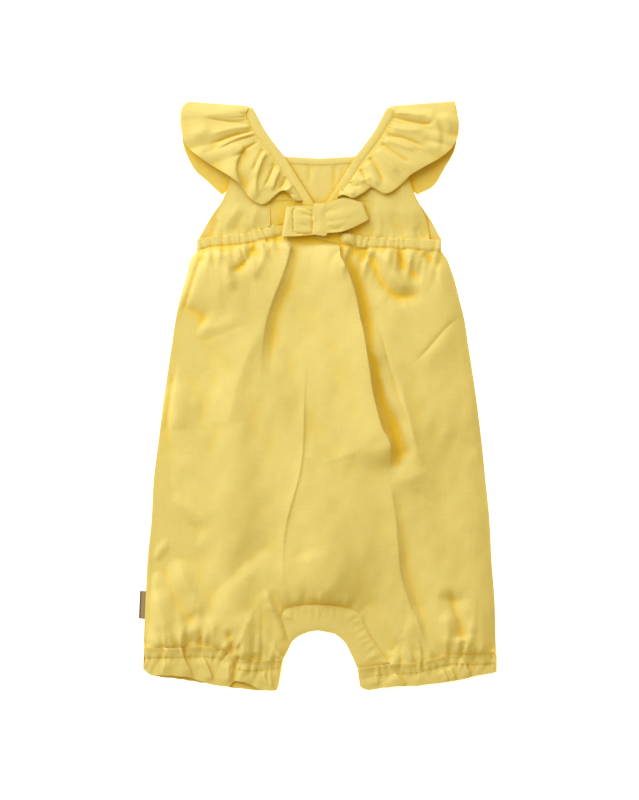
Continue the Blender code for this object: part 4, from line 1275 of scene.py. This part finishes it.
def buildTrimmings():
    for k, side in enumerate(("Left", "Right")):
        stations = ruffleStations[side]
        turn = (15.5 if side == "Left" else 14.5) / (len(stations) - 1)
        across = 34
        shape = ruffleShape(101 + 7 * k, 235, turn, ruffleFolds[side])
        ruffle = layStrip("ruffle" + side, stations, across, 11, shape)
        rows = np.linspace(0, 1, len(ruffle.data.vertices) // (across + 1)).repeat(across + 1)
        # painted shade all over the part of the ruffle that lies under the back
        underShade = 0.9 * ease(rows, turn, turn + 0.05)
        addPaintedShade(ruffle, 24, 1.1, lambda flat, value, underShade=underShade: value + underShade)
        loop = layStrip("bowLoop" + side, bowStations[side], 26, 12, bowShape(121 + k, bowFolds[side]))
        addPaintedShade(loop, 14, 0.7)
    knot = np.array(knotLine, float)
    outline = smoothLine(np.vstack([knot, knot[:1]]), 1)[:-1]

    def knotHeight(flat, rise):
        gap = edgeDistance(flat, outline)
        waistIn = -0.4 * bell(flat[:, 1] - 137, 5)
        return 8.15 + 1.1 * (1 - np.exp(-gap / 2.8)) + waistIn * ease(gap, 0, 3)
    addPaintedShade(layPanel("bowKnot", outline, knotHeight, 0.8), 20, 1.4)
    label = [
        ((-133.2, -152.6, 0.5), (-134, -174.4, 0.5)),
        ((-137.2, -152.4, 0.5), (-138.2, -173.9, 0.5)),
        ((-138.6, -152.3, 0.8), (-139.6, -173.7, 0.8)),
        ((-137.2, -152.4, 1.15), (-138.2, -173.8, 1.15)),
        ((-132.8, -152.6, 1.3), (-133.8, -174.4, 1.3)),
    ]
    layStrip("sideLabel", label, 10, 5, material=labelRibbon, thickness=0.3)


# ---- stitches

stitchLook = dict(pitch=2.7, length=2.0, width=0.36, sink=0.1, uneven=0.18, seed=5)


def makeStitchTree():
    # a stitch at every step along the lines it is given, each a little uneven
    tree = bpy.data.node_groups.new("stitchRow", "GeometryNodeTree")
    tree.is_modifier = True
    tree.interface.new_socket("Geometry", in_out="INPUT", socket_type="NodeSocketGeometry")
    for label in ("Pitch", "Length", "Width", "Uneven"):
        tree.interface.new_socket(label, in_out="INPUT", socket_type="NodeSocketFloat")
    tree.interface.new_socket("Seed", in_out="INPUT", socket_type="NodeSocketInt")
    tree.interface.new_socket("Thread", in_out="INPUT", socket_type="NodeSocketMaterial")
    tree.interface.new_socket("Geometry", in_out="OUTPUT", socket_type="NodeSocketGeometry")
    add, link = tree.nodes.new, tree.links.new

    given, out = add("NodeGroupInput"), add("NodeGroupOutput")
    curve, steps = add("GeometryNodeMeshToCurve"), add("GeometryNodeResampleCurve")
    steps.mode = "LENGTH"
    link(given.outputs["Geometry"], curve.inputs["Mesh"])
    link(curve.outputs["Curve"], steps.inputs["Curve"])
    link(given.outputs["Pitch"], steps.inputs["Length"])
    ball, smooth = add("GeometryNodeMeshIcoSphere"), add("GeometryNodeSetShadeSmooth")
    ball.inputs["Radius"].default_value = 0.5
    ball.inputs["Subdivisions"].default_value = 2
    link(ball.outputs["Mesh"], smooth.inputs["Geometry"])
    spread = add("FunctionNodeRandomValue")
    spread.data_type = "FLOAT"
    link(mathNode(tree, "SUBTRACT", 1, given.outputs["Uneven"]), spread.inputs[2])
    link(mathNode(tree, "ADD", 1, given.outputs["Uneven"]), spread.inputs[3])
    link(given.outputs["Seed"], spread.inputs["Seed"])
    size = add("ShaderNodeCombineXYZ")
    link(mathNode(tree, "MULTIPLY", given.outputs["Length"], spread.outputs[1]), size.inputs[0])
    link(given.outputs["Width"], size.inputs[1])
    link(given.outputs["Width"], size.inputs[2])
    tangent, turn = add("GeometryNodeInputTangent"), add("FunctionNodeAlignEulerToVector")
    turn.axis = "X"
    link(tangent.outputs[0], turn.inputs["Vector"])
    stitches = add("GeometryNodeInstanceOnPoints")
    link(steps.outputs["Curve"], stitches.inputs["Points"])
    link(smooth.outputs["Geometry"], stitches.inputs["Instance"])
    link(turn.outputs[0], stitches.inputs["Rotation"])
    link(size.outputs[0], stitches.inputs["Scale"])
    real, material = add("GeometryNodeRealizeInstances"), add("GeometryNodeSetMaterial")
    link(stitches.outputs[0], real.inputs[0])
    link(real.outputs[0], material.inputs["Geometry"])
    link(given.outputs["Thread"], material.inputs["Material"])
    link(material.outputs[0], out.inputs[0])
    return tree


def stitchLines():
    # each row of stitches, with the piece that it is sewn on
    body, bodice = bodyTables, bodiceTables
    rows = [
        ("bodyFront", beside(smoothLine(body["gussetSeam"], 1), 1.7)),
        ("gussetBack", beside(smoothLine(body["gussetSeamBack"], 1), -1.7)),
    ]
    inner, outer = smoothLine(bodice["neckIn"], 1), smoothLine(bodice["neckOut"], 1)
    backInner, backOuter = smoothLine(bodice["backNeckIn"], 1), smoothLine(bodice["backNeckOut"], 1)
    binding = 0.8 * outer + 0.2 * sharedOut(inner, outer)
    backBinding = 0.78 * backOuter + 0.22 * sharedOut(backInner, backOuter)
    for name, side in (("Left", -1), ("Right", 1)):
        waist, hem = "waist" + name, "hem" + name
        foot = middle + side * (bodice["panelEdge"] + 1.3)
        rows += [
            ("neckBinding" + name, sided(binding, side)),
            ("neckBindingBack", sided(backBinding, side)),
            ("waistCasing" + name, smoothLine(body[waist], 1) + (0, 1.3)),
            ("waistCasing" + name, smoothLine(body[waist + "Top"], 1) - (0, 1.3)),
            ("legHemFront" + name, smoothLine(hemElastics[name], 1) + (0, 0.9)),
            ("legHemFront" + name, smoothLine(body[hem], 1) - (0, 1.4)),
            ("bodiceFront" + name, smoothLine([(foot, 126), (foot, bodice["insetTop"])], 1)),
        ]
    return rows


def buildStitches():
    points, edges = [], []
    for name, line in stitchLines():
        mesh = bpy.data.objects[name].data
        faces = [tuple(polygon.vertices) for polygon in mesh.polygons]
        tree = BVHTree.FromPolygons([vertex.co for vertex in mesh.vertices], faces)
        before = None
        for x, y in line * mm:
            hit = tree.ray_cast(Vector((x, y, 0.1)), Vector((0, 0, -1)))[0]
            if hit is None:
                before = None
                continue
            points.append((x, y, hit.z + stitchLook["sink"] * mm))
            if before is not None:
                edges.append((before, len(points) - 1))
            before = len(points) - 1
    mesh = bpy.data.meshes.new("stitches")
    mesh.from_pydata(points, edges, [])
    rows = placed("stitches", mesh)
    sewn = rows.modifiers.new("stitches", "NODES")
    sewn.node_group = makeStitchTree()
    values = dict(
        Pitch=stitchLook["pitch"] * mm, Length=stitchLook["length"] * mm, Width=stitchLook["width"] * mm,
        Uneven=stitchLook["uneven"], Seed=stitchLook["seed"], Thread=sewingThread,
    )
    for item in sewn.node_group.interface.items_tree:
        if item.in_out == "INPUT" and item.name in values:
            sewn[item.identifier] = values[item.name]
    makeReal(rows)
    return rows


# ---- light, floor and camera

lightLook = dict(
    key=58.5,
    keyColour=(0.64, 0.74, 1.0),
    keySize=2.1,
    keyPlace=(-1.0, 1.15, 1.15),
    rim=2.2,                # a weak second light from the other side of the neck
    rimColour=(0.8, 0.88, 1.0),
    rimPlace=(0.7, 0.9, 0.9),
    fill=0.56,
    fillColour=(1.0, 0.86, 0.36),
    floorGlow=0.72,
)
cameraLook = dict(height=2.0, shown=0.624, middle=(0.0012, -0.0035))    # shown is the height of the view


def buildStudio():
    scene = bpy.context.scene
    scene.view_settings.view_transform = "Standard"
    world = bpy.data.worlds.new("studio")
    scene.world = world
    world.use_nodes = True
    background = world.node_tree.nodes["Background"]
    background.inputs["Color"].default_value = (*lightLook["fillColour"], 1)
    background.inputs["Strength"].default_value = lightLook["fill"]
    for name in ("key", "rim"):
        lamp = bpy.data.lights.new(name + "Light", "AREA")
        lamp.shape = "DISK"
        lamp.size = lightLook["keySize"]
        lamp.energy = lightLook[name]
        lamp.color = lightLook[name + "Colour"]
        light = placed(name + "Light", lamp)
        light.location = lightLook[name + "Place"]
        light.rotation_euler = (-light.location).to_track_quat("-Z", "Y").to_euler()

    mesh = bpy.data.meshes.new("floor")
    far, low = 30, -0.0004
    corners = [(-far, -far, low), (far, -far, low), (far, far, low), (-far, far, low)]
    mesh.from_pydata(corners, [], [(0, 1, 2, 3)])
    floor = placed("floor", mesh)
    paint, _, shader = startMaterial("paleFloor", 1.0, 0)
    shader.inputs["Base Color"].default_value = (0.9, 0.9, 0.9, 1)
    shader.inputs["Specular IOR Level"].default_value = 0
    shader.inputs["Emission Color"].default_value = (1, 1, 1, 1)
    shader.inputs["Emission Strength"].default_value = lightLook["floorGlow"]
    mesh.materials.append(paint)

    camera = bpy.data.cameras.new("camera")
    camera.sensor_fit = "VERTICAL"
    camera.sensor_height = 24
    camera.lens = camera.sensor_height * cameraLook["height"] / cameraLook["shown"]
    view = placed("camera", camera)
    view.location = (*cameraLook["middle"], cameraLook["height"])
    scene.camera = view


buildBody()
print("body built")
buildHems()
buildWaist()
print("casings and hems built")
buildBodice()
print("bodice built")
buildTrimmings()
print("trimmings built")
buildStudio()

# for each piece, the CAD node that it stands for and its cut before it was gathered or folded, in metres:
# width, length, flat area where the cut isn't a rectangle, how it is held, and what it lies on
sheets = dict(
    bodyFront=("body_front", 0.290, 0.330, 0.0880, "gathered", ["bodyBack"]),
    bodyBack=("body_back", 0.290, 0.322, 0.0860, "gathered", ["floor"]),
    gussetFront=("crotch_gusset_front", 0.080, 0.045, 0.0021, "laid", ["gussetBack", "bodyBack"]),
    gussetBack=("crotch_gusset_back", 0.080, 0.045, 0.0020, "laid", ["floor"]),
    legHemFrontLeft=("leg_hem_front_left", 0.145, 0.024, None, "gathered", ["legHemBackLeft"]),
    legHemFrontRight=("leg_hem_front_right", 0.140, 0.020, None, "gathered", ["legHemBackRight"]),
    legHemBackLeft=("leg_hem_back_left", 0.140, 0.024, None, "gathered", ["floor"]),
    legHemBackRight=("leg_hem_back_right", 0.130, 0.019, None, "gathered", ["floor"]),
    waistCasingLeft=("waist_casing_left", 0.095, 0.010, None, "gathered", ["waistCasingBack"]),
    waistCasingRight=("waist_casing_right", 0.105, 0.010, None, "gathered", ["waistCasingBack"]),
    waistCasingBack=("waist_casing_back", 0.270, 0.010, None, "gathered", ["floor"]),
    bodiceFrontLeft=("bodice_front_left", 0.060, 0.105, 0.0035, "laid", ["bodiceBack"]),
    bodiceFrontRight=("bodice_front_right", 0.060, 0.105, 0.0037, "laid", ["bodiceBack"]),
    bodiceInset=("bodice_inset", 0.080, 0.036, 0.0019, "laid", ["bodiceBack"]),
    bodiceBack=("bodice_back", 0.190, 0.105, 0.0115, "laid", ["floor"]),
    neckBindingLeft=("neck_binding_left", 0.010, 0.110, 0.0009, "folded", ["bodiceBack"]),
    neckBindingRight=("neck_binding_right", 0.010, 0.110, 0.0009, "folded", ["bodiceBack"]),
    neckBindingBack=("neck_binding_back", 0.010, 0.150, 0.0011, "folded", ["bodiceBack"]),
    ruffleLeft=("ruffle_left", 0.055, 0.250, 0.0100, "gathered", ["bodiceFrontLeft", "bodiceBack"]),
    ruffleRight=("ruffle_right", 0.055, 0.250, 0.0100, "gathered", ["bodiceFrontRight", "bodiceBack"]),
    bowLoopLeft=("bow_loop_left", 0.026, 0.056, None, "folded", ["bodiceInset"]),
    bowLoopRight=("bow_loop_right", 0.026, 0.068, None, "folded", ["bodiceInset"]),
    bowKnot=("bow_knot", 0.012, 0.026, None, "folded", ["bowLoopLeft", "bowLoopRight"]),
    sideLabel=("side_label", 0.011, 0.024, None, "folded", ["floor"]),
)
pieces = [bpy.data.objects[name] for name in sheets]
for piece in pieces:
    makeReal(piece).set_sharp_from_angle(angle=math.radians(58))    # its cut edges stay crisp
shadeCloseCloth(pieces)
print("cloth shaded")
stitches = buildStitches()
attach(stitches, "root")
print("stitches sewn")
for piece in pieces:
    node, width, length, area, held, restsOn = sheets[piece.name]
    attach(piece, "root")
    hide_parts(node)
